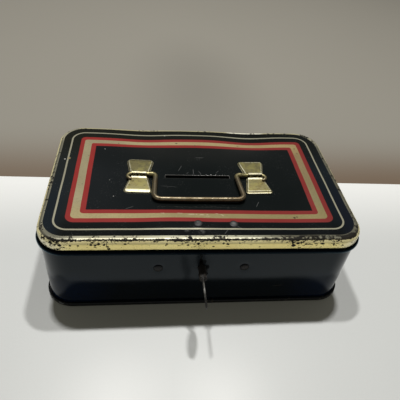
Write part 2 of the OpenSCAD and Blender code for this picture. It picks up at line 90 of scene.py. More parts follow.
# The hinge's axis, the handle's pivots, the key's axis, bow and tang, and the rivets, from them
HINGE_Y, BEAD_Z = centre("hinge_wire")[1:]
PIVOT_Z = centre("handle_wire")[2]
LOCK_X, LOCK_Z = centre("drill_pin")[::2]
LOCK_RIVETS = corners("lock_rivets")[1][0] - RIVET_R - LOCK_X
bow_lowest, bow_highest = corners("key_bow")
BOW_Y, TANG_Y = bow_lowest[1] + BOW_R, bow_highest[1]
catch_lowest, catch_highest = corners("catch_rivets")
CATCH_Y = centre("catch_rivets")[1]
CATCH_RIVETS = ((catch_lowest[0] + RIVET_R, CATCH_Y), (catch_highest[0] - RIVET_R, CATCH_Y))

# The body's wall is even below this height; its bead and neck stand above
WALL_TOP = 45.0

# Each clip's name, its place along X, its turn in degrees and how flat its pads are
CLIPS = (("left", CLIP_LEFT, -2.4, 0.0), ("right", CLIP_RIGHT, 2.0, 1.0))

# Each bend of the lid's top: its share of the deepest dent, its place and its spread
BENDS = ((-0.78, (-36, 42), (13, 11)), (-1.05, (38, 42), (13, 9)),
         (0.48, (-15, -39), (12, 5)), (-0.36, (45, -27), (28, 10)),
         *((0.16, at, (RIVET_R, RIVET_R)) for at in CATCH_RIVETS))

# How finely a ring round the box is cut: along the front, along a side, round a corner
ALONG, ACROSS, ROUND = 150, 78, 18

# What the points of the lid's flat top and of its inside hold instead of a way round the rim
OFF_RIM = -20.0

# The camera, fitted to the lid's rim, the bead and the base seam: its place in metres, its
# turns in radians, and the sensor's width and the lens in millimetres
CAMERA_PLACE = (-0.03205, -0.19955, 0.21523)
CAMERA_YAW, CAMERA_PITCH, CAMERA_ROLL = 0.1692, 0.7267, 0.1197
SENSOR, LENS = 36.0, 37.12

# The table ends behind the box on a slanting line, where the backdrop starts; both reach
# this far, in metres
STAGE_REACH, EDGE_Y, EDGE_SLOPE = 3.0, 0.0636, -0.0121

# Two ceiling lamps behind the box, as the two shadows beside it show: their places and
# sizes in metres and their power in watts
LAMPS = (("lamp_left", (-0.185, 0.335, 1.25), 7.3), ("lamp_right", (0.19, 0.335, 1.25), 7.4))
LAMP_LENGTH, LAMP_WIDTH = 0.095, 0.04
LAMP_COLOUR = (1.0, 0.985, 0.955)

# Clusters of specks on the rim's front: place along and up, radius, softness and strength
SPECK_CLUSTERS = (
    ((-79.0, 52.0), 5.0, 5.0, 1.0), ((-56.0, 51.4), 5.0, 2.5, 0.5), ((-6.0, 51.6), 6.0, 2.5, 0.5),
    ((49.0, 50.8), 5.0, 2.5, 0.9), ((60.0, 51.4), 5.0, 2.5, 0.6), ((72.0, 51.6), 4.0, 2.5, 0.7))

# Single pits in the rim's front: place along, height and radius
RIM_PITS = (
    (-13.8, 52.8, 0.35), (-10.7, 52.0, 0.5), (-5.2, 52.9, 0.6), (3.0, 51.0, 0.45),
    (8.2, 53.0, 0.5), (10.6, 52.6, 0.6), (17.1, 53.0, 0.35), (-21.9, 52.9, 0.35),
    (-76.6, 52.4, 0.7), (-77.8, 49.6, 0.6), (-71.1, 52.2, 0.45), (-67.3, 52.1, 0.45),
    (-60.9, 52.6, 0.6), (-58.8, 52.3, 0.6), (-56.9, 53.0, 0.6), (-54.2, 52.7, 0.5),
    (-52.6, 51.2, 0.6), (-51.9, 49.6, 0.65), (-43.5, 53.0, 0.5), (28.5, 50.4, 0.4),
    (47.3, 51.2, 0.9), (49.4, 52.8, 0.7), (54.5, 52.2, 0.6), (60.5, 50.9, 0.3),
    (63.9, 52.4, 0.6), (70.4, 51.8, 0.5))

# Chips in the printed stripes: place and radius
STRIPE_CHIPS = (
    ((-12.7, 36.3), 0.6), ((-0.1, 33.8), 0.45), ((70.2, 32.6), 0.5), ((70.6, 27.0), 0.45),
    ((52.0, -35.9), 0.7), ((53.8, -35.4), 0.5), ((-51.5, 35.0), 0.35), ((30.0, 36.0), 0.4),
    ((-70.5, -8.0), 0.3), ((-69.6, 20.0), 0.3))

# Painted highlights on the printed stripes, pale streaks where the tin bends: start, end and width
STRIPE_HIGHLIGHTS = (
    ((-25.2, -32.9), (-22.3, -33.2), 0.4), ((-10.6, -34.1), (-3.0, -34.0), 0.4),
    ((-4.0, -34.4), (2.6, -34.2), 0.45), ((6.0, -33.0), (9.4, -33.6), 0.3),
    ((9.4, -33.6), (10.9, -35.2), 0.3), ((-1.0, -35.4), (3.0, -35.6), 0.2),
    ((-16.0, -33.0), (-12.0, -33.4), 0.2))

# Scratches in the lid's lacquer: start, end and width
LID_SCRATCHES = (
    ((-44.8, -29.6), (-39.6, -27.2), 0.20), ((-3.5, 8.0), (-3.6, 1.8), 0.22),
    ((-0.3, 6.0), (1.4, 2.0), 0.18), ((-10.4, 11.6), (-13.3, 5.0), 0.18),
    ((-1.6, 19.8), (5.0, 20.0), 0.22), ((33.8, -22.0), (31.1, -27.2), 0.20),
    ((12.2, -45.0), (9.1, -49.2), 0.20), ((-6.5, 4.6), (-8.2, 2.4), 0.16),
    ((13.0, 6.5), (10.6, 3.4), 0.14), ((-25.0, -9.0), (-14.0, -10.2), 0.10),
    ((16.4, -42.8), (22.0, -46.2), 0.14))

# Rubbed spots of the lid's lacquer: place, radius, softness and strength
LID_RUBS = ((CATCH_RIVETS[0], 1.2, 1.6, 1.0), (CATCH_RIVETS[1], 1.5, 1.6, 0.9),
            ((-11.0, -46.0), 0.7, 1.6, 0.9), ((-3.0, -47.0), 1.0, 1.6, 0.9))

# Pale specks on the lid: place, radius and softness
PALE_SPECKS = (((-83.7, 15.9), 0.4, 0.3), ((-20.6, 45.9), 0.35, 0.25), ((-51.6, -18.8), 0.2, 0.25),
               ((-60.0, 28.0), 0.25, 0.25), ((-54.8, -4.1), 0.15, 0.25))

# The body's worn patch, widest beside the key's barrel, with a thin tail above the keyhole:
# place along and up, half sizes and corner
KEYHOLE_WEAR = ((-2.6, 41.4, 0.72, 2.5, 0.5), (-1.6, 37.9, 2.1, 2.0, 1.4),
                (-0.3, 33.2, 2.8, 2.1, 1.4), (-0.3, 28.8, 2.4, 3.4, 1.4))

# Pools of painted light on the table in front of the box: place, radius, softness and strength
TABLE_LIGHT_POOLS = (((-48.0, -114.0), 14.0, 26.0, 0.45), ((8.0, -114.0), 12.0, 24.0, 0.5))


# Sizes and colours

def length(label, about, default):
    """A size in metres that the sidebar shows."""
    return bpy.props.FloatProperty(name=label, description=about, default=default,
                                   subtype="DISTANCE", unit="LENGTH", precision=4)


def tint(label, about, default):
    """A colour that the sidebar shows."""
    return bpy.props.FloatVectorProperty(name=label, description=about, default=default,
                                         subtype="COLOR", size=3, min=0.0, max=1.0)


class MoneyBoxSizes(bpy.types.PropertyGroup):
    """Sizes of what is printed on and dented into the tin."""

    print_x: length("Print centre, X", "Middle of the printed stripes, left to right", -0.00065)
    print_y: length("Print centre, Y", "Middle of the printed stripes, front to back", 0.0006)
    panel_l: length("Panel", "Half the length of the plain panel", 0.06535)
    panel_d: length("Panel depth", "Half the depth of the plain panel", 0.0307)
    red_stripe: length("Red stripes", "Width of the red stripes", 0.0030)
    gold_side: length("Gold stripe, sides", "Width of the gold stripe at the sides", 0.0046)
    gold_front: length("Gold stripe, front", "Width of the gold stripe at front and back", 0.0038)
    thin_gap: length("Dark gap", "Dark gap between the outer red stripe and the thin line", 0.0048)
    thin_line: length("Thin line", "Width of the thin line", 0.0010)
    rim_l: length("Rim", "Half the length inside the brass rim", 0.08705)
    rim_d: length("Rim depth", "Half the depth inside the brass rim", 0.0507)
    dent: length("Dents", "Depth of the deepest dent in the lid", 0.0016)


class MoneyBoxColours(bpy.types.PropertyGroup):
    """Colours of the tin's lacquers, print and metals."""

    lacquer: tint("Lacquer", "Blue-black lacquer of the lid", (0.0046, 0.0058, 0.0072))
    navy: tint("Body", "Navy lacquer of the body", (0.0006, 0.0021, 0.0044))
    red: tint("Red", "Red of the printed stripes", (0.285, 0.026, 0.023))
    gold: tint("Gold stripe", "Pale gold of the printed stripe", (0.425, 0.345, 0.180))
    line: tint("Thin line", "Grey gold of the thin line", (0.38, 0.365, 0.27))
    rim: tint("Skirt", "Lemon brass of the lid's skirt", (0.93, 0.80, 0.35))
    rubbed: tint("Shoulder", "Dulled brass over the lid's shoulder", (0.33, 0.32, 0.24))
    brass: tint("Clips", "Aged brass of the handle's clips", (0.37, 0.335, 0.165))
    wire: tint("Handle", "Darker brass of the handle", (0.25, 0.215, 0.145))
    steel: tint("Steel", "Grey steel of the key's bow and the lock", (0.36, 0.35, 0.33))
    iron: tint("Iron", "Dark worn iron of the key's barrel", (0.06, 0.052, 0.045))
    tinplate: tint("Tinplate", "Plain tinplate inside the box", (0.50, 0.49, 0.45))
    table: tint("Table", "Pale table", (0.73, 0.75, 0.75))
    backdrop: tint("Backdrop", "Beige backdrop behind the table", (0.29, 0.275, 0.24))


def sizes():
    """The sizes that the sidebar shows."""
    return bpy.context.scene.money_box_sizes


def colours():
    """The colours that the sidebar shows."""
    return bpy.context.scene.money_box_colours


def scaled(colour, *factors):
    """A colour times one factor, or times one factor for each of its three channels."""
    each = factors if len(factors) == 3 else factors * 3
    return [channel * factor for channel, factor in zip(colour, each)]


# Shader maths

class Value:
    """A socket of a node tree; arithmetic on it adds Math nodes."""

    def __init__(self, nodes, socket):
        self.nodes = nodes
        self.socket = socket

    def __add__(self, other):
        return self.nodes.math("ADD", self, other)

    def __sub__(self, other):
        return self.nodes.math("SUBTRACT", self, other)

    def __rsub__(self, other):
        return self.nodes.math("SUBTRACT", other, self)

    def __mul__(self, other):
        return self.nodes.math("MULTIPLY", self, other)

    __radd__ = __add__

    def abs(self):
        return self.nodes.math("ABSOLUTE", self)

    def most(self, other):
        return self.nodes.math("MAXIMUM", self, other)

    def least(self, other):
        return self.nodes.math("MINIMUM", self, other)

    def root(self):
        return self.nodes.math("SQRT", self)

    def rise(self, low, high):
        """0 below low, 1 above high and a smooth rise between; it falls where low > high."""
        if low > high:
            return 1 - self.rise(high, low)
        return self.nodes.take("MapRange", 0, {"interpolation_type": "SMOOTHSTEP"},
                               {"Value": self, "From Min": low, "From Max": high})


def most_of(values):
    """The highest of several values at each place."""
    first, *others = values
    for value in others:
        first = first.most(value)
    return first


class Nodes:
    """The node tree of a material or a world, emptied and made anew."""

    def __init__(self, owner):
        owner.use_nodes = True
        self.tree = owner.node_tree
        self.tree.nodes.clear()

    def node(self, kind, settings=None, sockets=None):
        """Adds a node: its settings first, then the values or links of its sockets."""
        made = self.tree.nodes.new("ShaderNode" + kind)
        for key, value in (settings or {}).items():
            setattr(made, key, value)
        for key, value in (sockets or {}).items():
            socket = made.inputs[key]
            if isinstance(value, Value):
                self.tree.links.new(value.socket, socket)
            else:
                socket.default_value = value
        return made

    def take(self, kind, output, settings=None, sockets=None):
        """Adds a node and gives one of its outputs."""
        return Value(self, self.node(kind, settings, sockets).outputs[output])

    def parts(self, vector):
        """The X, Y and Z of a vector."""
        apart = self.node("SeparateXYZ", {}, {"Vector": vector})
        return [Value(self, apart.outputs[i]) for i in range(3)]

    def math(self, operation, *values):
        return self.take("Math", 0, {"operation": operation}, dict(enumerate(values)))

    def mix(self, share, one, other, way="MIX"):
        """Mixes two colours; a plain colour may be given as three numbers."""
        pair = [c if isinstance(c, Value) else (*c, 1.0) for c in (one, other)]
        return self.take("Mix", 2, {"data_type": "RGBA", "blend_type": way},
                         {0: share, 6: pair[0], 7: pair[1]})

    def tinted(self, colour, other):
        """A colour times another one."""
        return self.mix(1.0, colour, other, "MULTIPLY")


class Shade(Nodes):
    """A procedural material; x, y and z are a place on the piece in millimetres."""

    def __init__(self, name):
        self.material = bpy.data.materials.new(name)
        super().__init__(self.material)
        self.point = self.take("TexCoord", "Object")
        self.x, self.y, self.z = (part * TO_MM for part in self.parts(self.point))

    def mark(self, name):
        """A value that the mesh holds at its points."""
        return self.take("Attribute", "Fac", {"attribute_name": name})

    def grain(self, scale, detail=2.0, rough=0.5, stretch=None, shift=0.0, bend=0.0):
        """Noise from 0 to 1 with that many features to the metre."""
        where = self.point
        if stretch or shift:
            where = self.take("Mapping", 0, {}, {
                "Vector": where, "Scale": stretch or (1, 1, 1), "Location": (shift,) * 3})
        return self.take("TexNoise", 0, {}, {"Vector": where, "Scale": scale, "Detail": detail,
                                             "Roughness": rough, "Distortion": bend})

    def rectangle(self, x, y, half_x, half_y, radius):
        """Distance outside a rounded rectangle, negative inside it."""
        over_x = x.abs() - (half_x - radius)
        over_y = y.abs() - (half_y - radius)
        out_x, out_y = over_x.most(0.0), over_y.most(0.0)
        corner = (out_x * out_x + out_y * out_y).root()
        return corner + over_x.most(over_y).least(0.0) - radius

    def spot(self, x, y, at, radius, soft=0.3):
        """1 inside a round spot and 0 outside it."""
        off_x, off_y = x - at[0], y - at[1]
        return (off_x * off_x + off_y * off_y).root().rise(radius + soft, radius - soft)

    def spots(self, x, y, places):
        """Several spots; each place has a middle, a radius and perhaps a softness."""
        return most_of(self.spot(x, y, *place) for place in places)

    def faint_spots(self, x, y, places):
        """Several spots; each place has a middle, a radius, a softness and a strength."""
        return most_of(self.spot(x, y, at, radius, soft) * strength
                       for at, radius, soft, strength in places)

    def scratch(self, x, y, start, end, width):
        """1 on a thin straight scratch, fading at its ends."""
        run = Vector(end) - Vector(start)
        span = run.length
        along = ((x - start[0]) * run.x + (y - start[1]) * run.y) * (1 / span)
        across = ((y - start[1]) * run.x - (x - start[0]) * run.y) * (1 / span)
        ends = (along - span / 2).abs().rise(span / 2, span / 2 - 0.25 * span)
        return ends * across.abs().rise(width, width * 0.3)

    def scratches(self, x, y, lines):
        """Several scratches; each line has a start, an end and a width."""
        return most_of(self.scratch(x, y, *line) for line in lines)

    def finish(self, colour, roughness, metallic=0.0, height=None, depth=0.0, **constants):
        """Ends the material in a Principled shader; constants go straight on its sockets."""
        sockets = {"Base Color": colour if isinstance(colour, Value) else (*colour, 1.0),
                   "Roughness": roughness, "Metallic": metallic}
        sockets.update({key.replace("_", " "): value for key, value in constants.items()})
        if height is not None:
            sockets["Normal"] = self.take("Bump", 0, {}, {
                "Height": height, "Distance": depth * MM, "Strength": 1.0})
        shader = self.take("BsdfPrincipled", 0, {}, sockets)
        self.node("OutputMaterial", {}, {"Surface": shader})
        return self.material


# Mesh helpers

def in_scene(name, data):
    """A new object of the scene."""
    obj = bpy.data.objects.new(name, data)
    bpy.context.scene.collection.objects.link(obj)
    return obj


def mesh_of(name, points, faces):
    """A mesh in metres from points in millimetres."""
    mesh = bpy.data.meshes.new(name)
    mesh.from_pydata([(x * MM, y * MM, z * MM) for x, y, z in points], [], faces)
    return mesh


def piece(name, body, points, faces, materials, marks=None, choice=None,
          replaces=(), sharp=40.0):
    """Makes a smooth mesh piece from points in millimetres and lets it ride on its body."""
    mesh = mesh_of(name, points, faces)
    for material in materials:
        mesh.materials.append(material)
    if choice is not None:
        mesh.polygons.foreach_set("material_index", choice)
    if marks is not None:
        for key, values in marks.items():
            mesh.attributes.new(key, "FLOAT", "POINT").data.foreach_set("value", values)
    obj = in_scene(name, mesh)
    soften(obj, sharp)
    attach(obj, body)
    if replaces:
        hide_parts(*replaces)
    return obj


def soften(obj, sharp):
    """Smooth shading that keeps the edges sharper than that many degrees."""
    obj.data.validate()
    obj.data.update()
    obj.data.shade_smooth()
    obj.data.set_sharp_from_angle(angle=math.radians(sharp))


def clamped(value):
    """A number held between 0 and 1."""
    return min(1.0, max(0.0, value))


def eased(value):
    """A number held between 0 and 1, with a soft start and end."""
    value = clamped(value)
    return value * value * (3 - 2 * value)


def hill(x, y, at, spread):
    """A smooth round hill of height 1."""
    return math.exp(-((x - at[0]) / spread[0]) ** 2 / 2 - ((y - at[1]) / spread[1]) ** 2 / 2)


def circle(count):
    """Angles of a full turn, in radians."""
    return [2 * math.pi * k / count for k in range(count)]


def arc(cx, cz, radius, start, end, count):
    """Points of an arc in a section, angles in degrees from outward to up."""
    turn = (math.radians(start + (end - start) * i / count) for i in range(count + 1))
    return [(cx + radius * math.cos(a), cz + radius * math.sin(a)) for a in turn]


def outline_ring(half_l, half_d, radius, z, middle=0.0):
    """A ring round a rounded rectangle, from the front left and then to the right."""
    in_l, in_d = half_l - radius, half_d - radius
    straights = ((-in_l, -half_d, in_l, -half_d, ALONG), (half_l, -in_d, half_l, in_d, ACROSS),
                 (in_l, half_d, -in_l, half_d, ALONG), (-half_l, in_d, -half_l, -in_d, ACROSS))
    corners = ((1, -1), (1, 1), (-1, 1), (-1, -1))
    ring = []
    for turn, ((x0, y0, x1, y1, count), (sx, sy)) in enumerate(zip(straights, corners)):
        for i in range(count):
            t = i / count
            ring.append((middle + x0 + (x1 - x0) * t, y0 + (y1 - y0) * t, z))
        for i in range(ROUND):
            a = math.radians(90 * (turn - 1 + i / ROUND))
            ring.append((middle + sx * in_l + radius * math.cos(a),
                         sy * in_d + radius * math.sin(a), z))
    return ring


def wall_ring(out, z):
    """The ring that stands out from the body's wall by out."""
    return outline_ring(HALF_L + out, HALF_D + out, CORNER + out, z)


def between(ring_a, ring_b, t):
    """The ring a share of the way from one ring to another."""
    return [tuple(p + (q - p) * t for p, q in zip(a, b)) for a, b in zip(ring_a, ring_b)]


def loft(rings, closed=True):
    """Points and quads of a skin over rings of equal length."""
    count = len(rings[0])
    points = [p for ring in rings for p in ring]
    faces = []
    for k in range(len(rings) if closed else len(rings) - 1):
        a, b = k * count, ((k + 1) % len(rings)) * count
        faces += [(a + i, a + (i + 1) % count, b + (i + 1) % count, b + i) for i in range(count)]
    return points, faces


def capped(rings):
    """A skin over rings, closed by a face over the first and over the last."""
    points, faces = loft(rings, closed=False)
    size = len(rings[0])
    last = len(points) - size
    return points, faces + [tuple(range(size))[::-1], tuple(range(last, last + size))]


def tube(path, radii, around):
    """A tube along a path of points, with a radius at each."""
    rings = []
    for i, (centre, radius) in enumerate(zip(path, radii)):
        ahead = Vector(path[min(i + 1, len(path) - 1)]) - Vector(path[max(i - 1, 0)])
        side = ahead.cross(Vector((0, 0, 1))).normalized()
        up = side.cross(ahead).normalized()
        rings.append([tuple(Vector(centre) + radius * (math.cos(a) * side - math.sin(a) * up))
                      for a in circle(around)])
    return capped(rings)


def lathe(profile, around=40):
    """Turns a profile of (radius, along) about an axis; it starts and ends near radius 0."""
    return capped([[(r * math.cos(a), r * math.sin(a), along) for a in circle(around)]
                   for r, along in profile])


def block(low, high, bevel):
    """A block between two corners, with its edges bevelled."""
    work = bmesh.new()
    bmesh.ops.create_cube(work, size=1.0)
    size = Vector(high) - Vector(low)
    work.transform(Matrix.Translation((Vector(high) + Vector(low)) / 2)
                   @ Matrix.Diagonal((*size, 1.0)))
    bmesh.ops.bevel(work, geom=list(work.edges), offset=bevel, segments=2, affect="EDGES")
    work.verts.index_update()
    result = ([tuple(v.co) for v in work.verts],
              [tuple(v.index for v in f.verts) for f in work.faces])
    work.free()
    return result


def joined(*parts):
    """Several (points, faces) as one."""
    points, faces = [], []
    for some_points, some_faces in parts:
        start = len(points)
        points += some_points
        faces += [tuple(start + i for i in f) for f in some_faces]
    return points, faces


def moved(part, matrix):
    """The (points, faces) of a part, moved by a matrix."""
    points, faces = part
    return [tuple(matrix @ Vector(p)) for p in points], faces


def cut(obj, cutters, sharp):
    """Cuts the (points, faces) of cutters out of a piece."""
    tool = in_scene("cutter", mesh_of("cutter", *joined(*cutters)))
    change = obj.modifiers.new("cut", "BOOLEAN")
    change.object, change.operation, change.solver = tool, "DIFFERENCE", "EXACT"
    bpy.context.view_layer.update()
    shown = obj.evaluated_get(bpy.context.evaluated_depsgraph_get())
    result = bpy.data.meshes.new_from_object(shown)
    obj.modifiers.clear()
    obj.data = result
    bpy.data.objects.remove(tool)
    soften(obj, sharp)


def lock_place(y):
    """A place on the key's axis, leaned like the key."""
    return (Matrix.Translation((LOCK_X, y, LOCK_Z))
            @ Matrix.Rotation(math.radians(KEY_LEAN), 4, "Y"))


def paint_nodes(material, slot, *names):
    """Gives CAD nodes that stay a procedural material."""
    for name in names:
        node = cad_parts[name]
        for entry in node.material_slots:
            entry.material = material


# Materials of the lid

class RimWear:
    """Where the brass of the lid's rim has worn through to dark iron, from 0 to 1."""

    def __init__(self, look, over):
        self.look, self.over = look, over
        self.ragged = look.grain(480.0, 4.0, 0.66, stretch=(1.0, 1.0, 1.5))
        self.coarse = look.grain(120.0, 3.0, 0.6, shift=3.0)
        self.fine = look.grain(1300.0, 2.0, 0.5, shift=7.0)
        self.front = look.y.rise(-46.0, -51.0)
        self.corner = look.x.abs().rise(72.0, 86.0) * look.y.abs().rise(38.0, 50.0)
        self.flanks = look.x.abs().rise(86.0, 88.0).most(look.y.rise(50.0, 52.0))

    def everywhere(self):
        """All the wear of the rim together."""
        return self.line().most(self.specks()).most(self.dull_shoulder()).most(self.bare_flanks())

    def line(self):
        """A ragged line along the front shoulder, here thin and there thick."""
        wide = 0.52 + self.coarse.rise(0.46, 0.62) * 0.36 - self.coarse.rise(0.40, 0.32) * 0.3
        bend = (self.ragged - 0.5) * 2.2 + (self.fine - 0.5) * 2.0
        bend = bend - self.look.x.rise(20.0, 60.0) * 0.15
        line = ((self.over + bend - 1.32).abs() - wide).rise(0.06, -0.06) * self.front
        return line * (self.over.rise(0.6, 0.95) * 0.7 + 0.3)

    def specks(self):
        """Specks under the line, thicker in clusters and at the corners, and single pits."""
        look, over = self.look, self.over
        clusters = look.faint_spots(look.x, look.z, SPECK_CLUSTERS)
        far = (over - 2.4).abs() * 0.020
        level = self.ragged + (self.fine - 0.5) * 0.2 + clusters * self.front * 0.10
        level = level + self.corner * 0.05 - far
        specks = level.rise(0.588, 0.600) * over.rise(1.0, 1.6) * (1 - self.flanks * 0.75)
        return specks.most(self.pits() * self.front)

    def pits(self):
        """Single pits, each a little wider than it is high."""
        squeeze, soft = 0.7, 0.12
        across = (self.look.x + (self.ragged - 0.5) * 2.0) * squeeze
        up = self.look.z + (self.fine - 0.5) * 1.2
        return self.look.spots(across, up, [((x * squeeze, z), radius, soft)
                                            for x, z, radius in RIM_PITS])

    def dull_shoulder(self):
        """The right half of the front shoulder and the corners, rubbed dull."""
        look, over = self.look, self.over
        right = look.x.rise(40.0, 56.0) * self.front
        upper = over.rise(2.2, 1.4) * over.rise(-1.9, -0.9)
        dull = self.ragged + (self.coarse - 0.5) * 0.5 + upper * right * 0.13
        dull = dull + self.corner * upper * look.x.rise(-60.0, 0.0) * 0.12
        return dull.rise(0.57, 0.60) * upper.most(self.corner * over.rise(2.6, 1.6))

    def bare_flanks(self):
        """The rim's ends and its back, rubbed bare here and there."""
        worn = self.ragged + (self.coarse - 0.5) * 0.4 + self.look.x.rise(84.0, 88.0) * 0.06
        worn = worn + self.fine * 0.1 + self.over.rise(1.2, 2.4) * 0.035
        return worn.rise(0.690, 0.710) * self.over.rise(0.3, 0.9) * self.flanks


def print_shapes(look):
    """1 inside each outline of the print, from the plain panel out to the brass rim."""
    print_sizes = sizes()
    wander = (look.grain(55.0) - 0.5) * 0.35
    x = look.x - print_sizes.print_x * TO_MM + wander
    y = look.y - print_sizes.print_y * TO_MM - wander
    rounder = look.y.rise(0.0, -10.0)
    red = print_sizes.red_stripe
    soft = 0.13

    # Each outline's step outward along X and along Y, its corner and its shift to the right
    steps = ((0, 0, 0.3, 0.0),
             (red, red, rounder + 1.3, 0.0),
             (print_sizes.gold_side, print_sizes.gold_front, rounder * 1.2 + 1.6, 0.0),
             (red, red, rounder * 2.2 + 2.8, 0.2),
             (print_sizes.thin_gap, print_sizes.thin_gap, 7.3, 0.0),
             (print_sizes.thin_line, print_sizes.thin_line, 8.3, 0.0))
    half_x, half_y = print_sizes.panel_l * TO_MM, print_sizes.panel_d * TO_MM
    shapes = []
    for step_x, step_y, corner, shift in steps:
        half_x, half_y = half_x + step_x * TO_MM, half_y + step_y * TO_MM
        outline = look.rectangle(x - shift, y, half_x - shift, half_y, corner)
        shapes.append(outline.rise(soft, -soft))
    rear_right = look.x.rise(0.0, 10.0) * look.y.rise(0.0, 10.0)
    band = look.rectangle(x - 0.45, y - 0.2, print_sizes.rim_l * TO_MM, print_sizes.rim_d * TO_MM,
                          rear_right * 1.9 + 12.6)
    return [*shapes, band.rise(soft, -soft)]


def lid_lacquer(look, left, red_out):
    """Blue-black lacquer, lighter at the left by painted light, bluer at the ends and blacker
    along the front.
    """
    base = colours().lacquer
    # Painted light: the panel is lighter towards the left, most of all at the front
    inner = look.mix(look.x.rise(-5.0, -80.0) * (1 - look.y.rise(0.0, 25.0) * 0.6),
                     scaled(base, 1.0, 1.15, 0.95), scaled(base, 2.5, 2.4, 2.2))
    inner = look.mix(look.y.rise(5.0, 27.0) * look.x.abs().rise(55.0, 20.0) * 0.6, inner,
                     (0.013, 0.014, 0.013))
    # Painted light: the outer band, and below it the blue ends, lighter at the left
    outer = look.mix(left, scaled(base, 1.3, 1.7, 1.9), scaled(base, 3.0, 3.0, 2.5))
    outer_back = look.mix(left, (0.0030, 0.0038, 0.0020), (0.0085, 0.0088, 0.0045))
    outer = look.mix(look.y.rise(5.0, 40.0) * 0.8, outer, outer_back)
    lacquer = look.mix(red_out, outer, inner)
    ends = look.x.abs().rise(76.0, 82.0) * look.y.rise(5.0, -25.0)
    blue = look.mix(left, (0.0060, 0.0085, 0.0145), (0.0110, 0.0160, 0.0210))
    lacquer = look.mix(ends, lacquer, blue)
    front = look.y.rise(-30.0, -46.0) * look.x.abs().rise(84.0, 74.0)
    return look.mix(front * 0.7, lacquer, (0.003, 0.003, 0.0025))


def red_paint(look, left):
    """Red of the two red stripes, a little darker and cooler at the right by painted shade."""
    base = colours().red
    red = look.mix(look.grain(140.0, 3.0), scaled(base, 0.84), scaled(base, 1.12))
    # Painted shade: the red darker and cooler towards the right end
    return look.mix(left, look.tinted(red, (0.74, 0.95, 0.98)), red)


def gold_paint(look, left):
    """Pale gold of the stripe between them, flecked, darker at the right by painted shade, and
    lighter at the front and along most of the back.
    """
    base = colours().gold
    fleck = look.grain(900.0, 2.0, 0.6).rise(0.46, 0.66)
    gold = look.mix(look.grain(60.0, 3.0), scaled(base, 0.86), scaled(base, 1.08))
    gold = look.mix(fleck * 0.25, gold, scaled(base, 0.6))
    # Painted shade: the gold darker towards the right end and bluer at the left
    right = look.mix(look.y.rise(-35.0, 35.0), (0.66, 0.70, 0.70), (0.80, 0.70, 0.68))
    gold = look.mix(left, look.tinted(gold, right), look.tinted(gold, (0.96, 1.04, 1.22)))
    gold = look.mix(look.y.rise(-20.0, -34.0), gold, look.tinted(gold, (1.12, 1.07, 0.93)))
    back = look.y.rise(22.0, 34.0) * look.x.rise(-58.0, -35.0)
    return look.mix(back, gold, look.tinted(gold, (1.32, 1.36, 1.26)))


def shoulder_brass(look, back, handled):
    """Brass over the rim's shoulder, tarnished at the front and the right, and paler behind by
    painted light, with a painted highlight on the back.
    """
    base = colours().rubbed
    front = look.y.rise(-38.0, -48.0)
    tarnish = look.x.rise(15.0, 52.0) * front * 0.75
    tarnish = tarnish.most(look.x.rise(80.0, 86.0) * 0.35)
    tarnish = tarnish.most(look.x.rise(-66.0, -78.0) * front * 0.65)
    shoulder = look.mix(tarnish, base, scaled(base, 0.30))
    rear_corner = look.x.abs().rise(76.0, 83.0) * look.y.rise(34.0, 42.0)
    shoulder = look.mix(rear_corner * 0.7, shoulder, (0.80, 0.76, 0.56))
    # Painted light: the back shoulder paler, as if lit by the lamps behind
    shoulder = look.mix(back, shoulder, (0.50, 0.46, 0.27))
    # Painted highlight: a cream spot on the back shoulder where a dent catches the lamps
    back_highlight = ((look.x - 37.0).abs() + (handled - 0.5) * 6.0).rise(13.0, 8.0)
    return look.mix(back * back_highlight, shoulder, (0.98, 0.95, 0.78))


def skirt_brass(look, under):
    """Lemon brass of the rim's skirt, greyer at its ends and palest under the shoulder, where the
    paleness is a painted reflection.
    """
    corners = look.x.abs().rise(70.0, 84.0) * look.y.rise(-40.0, -48.0)
    skirt = look.mix(corners, colours().rim, (0.86, 0.79, 0.56))
    ends = look.mix(look.x.rise(-80.0, 80.0), (0.44, 0.42, 0.29), (0.30, 0.29, 0.20))
    skirt = look.mix(look.x.abs().rise(87.0, 89.0), skirt, ends)
    # Painted reflection: the band under the shoulder paler, standing for the lit table it mirrors
    return look.mix(under * 0.8, skirt, (0.98, 0.89, 0.50))


def rim_brass(look, over):
    """Colour and metal of the rim: dull over the shoulder, lemon on the skirt."""
    handled = look.grain(35.0, 3.0, 0.6).rise(0.38, 0.7)
    # Painted light: the back shoulder made paler and less metallic
    back = look.y.rise(50.8, 51.6) * over.rise(2.6, 2.0)
    # Painted reflection: the band under the shoulder made paler and less metallic
    under = over.rise(1.4, 1.9) * over.rise(4.0, 3.3)
    brass = look.mix(over.rise(1.2, 2.2), shoulder_brass(look, back, handled),
                     skirt_brass(look, under))
    brass = look.mix(handled * 0.45, brass, (0.80, 0.74, 0.62), "MULTIPLY")
    return brass, 0.9 - back * 0.7 - under * 0.7


def printed_colour(look, shapes):
    """The colour of the lacquer and its stripes, before any wear."""
    panel, red_in, gold, red_out, gap, line, _ = shapes
    # Painted light and shade: left is 1 at the left end and 0 at the right
    left = look.x.rise(95.0, -95.0)
    lacquer, red = lid_lacquer(look, left, red_out), red_paint(look, left)
    colour = lacquer
    for shape, paint in ((line, colours().line), (gap, lacquer), (red_out, red),
                         (gold, gold_paint(look, left)), (red_in, red), (panel, lacquer)):
        colour = look.mix(shape, colour, paint)
    return colour


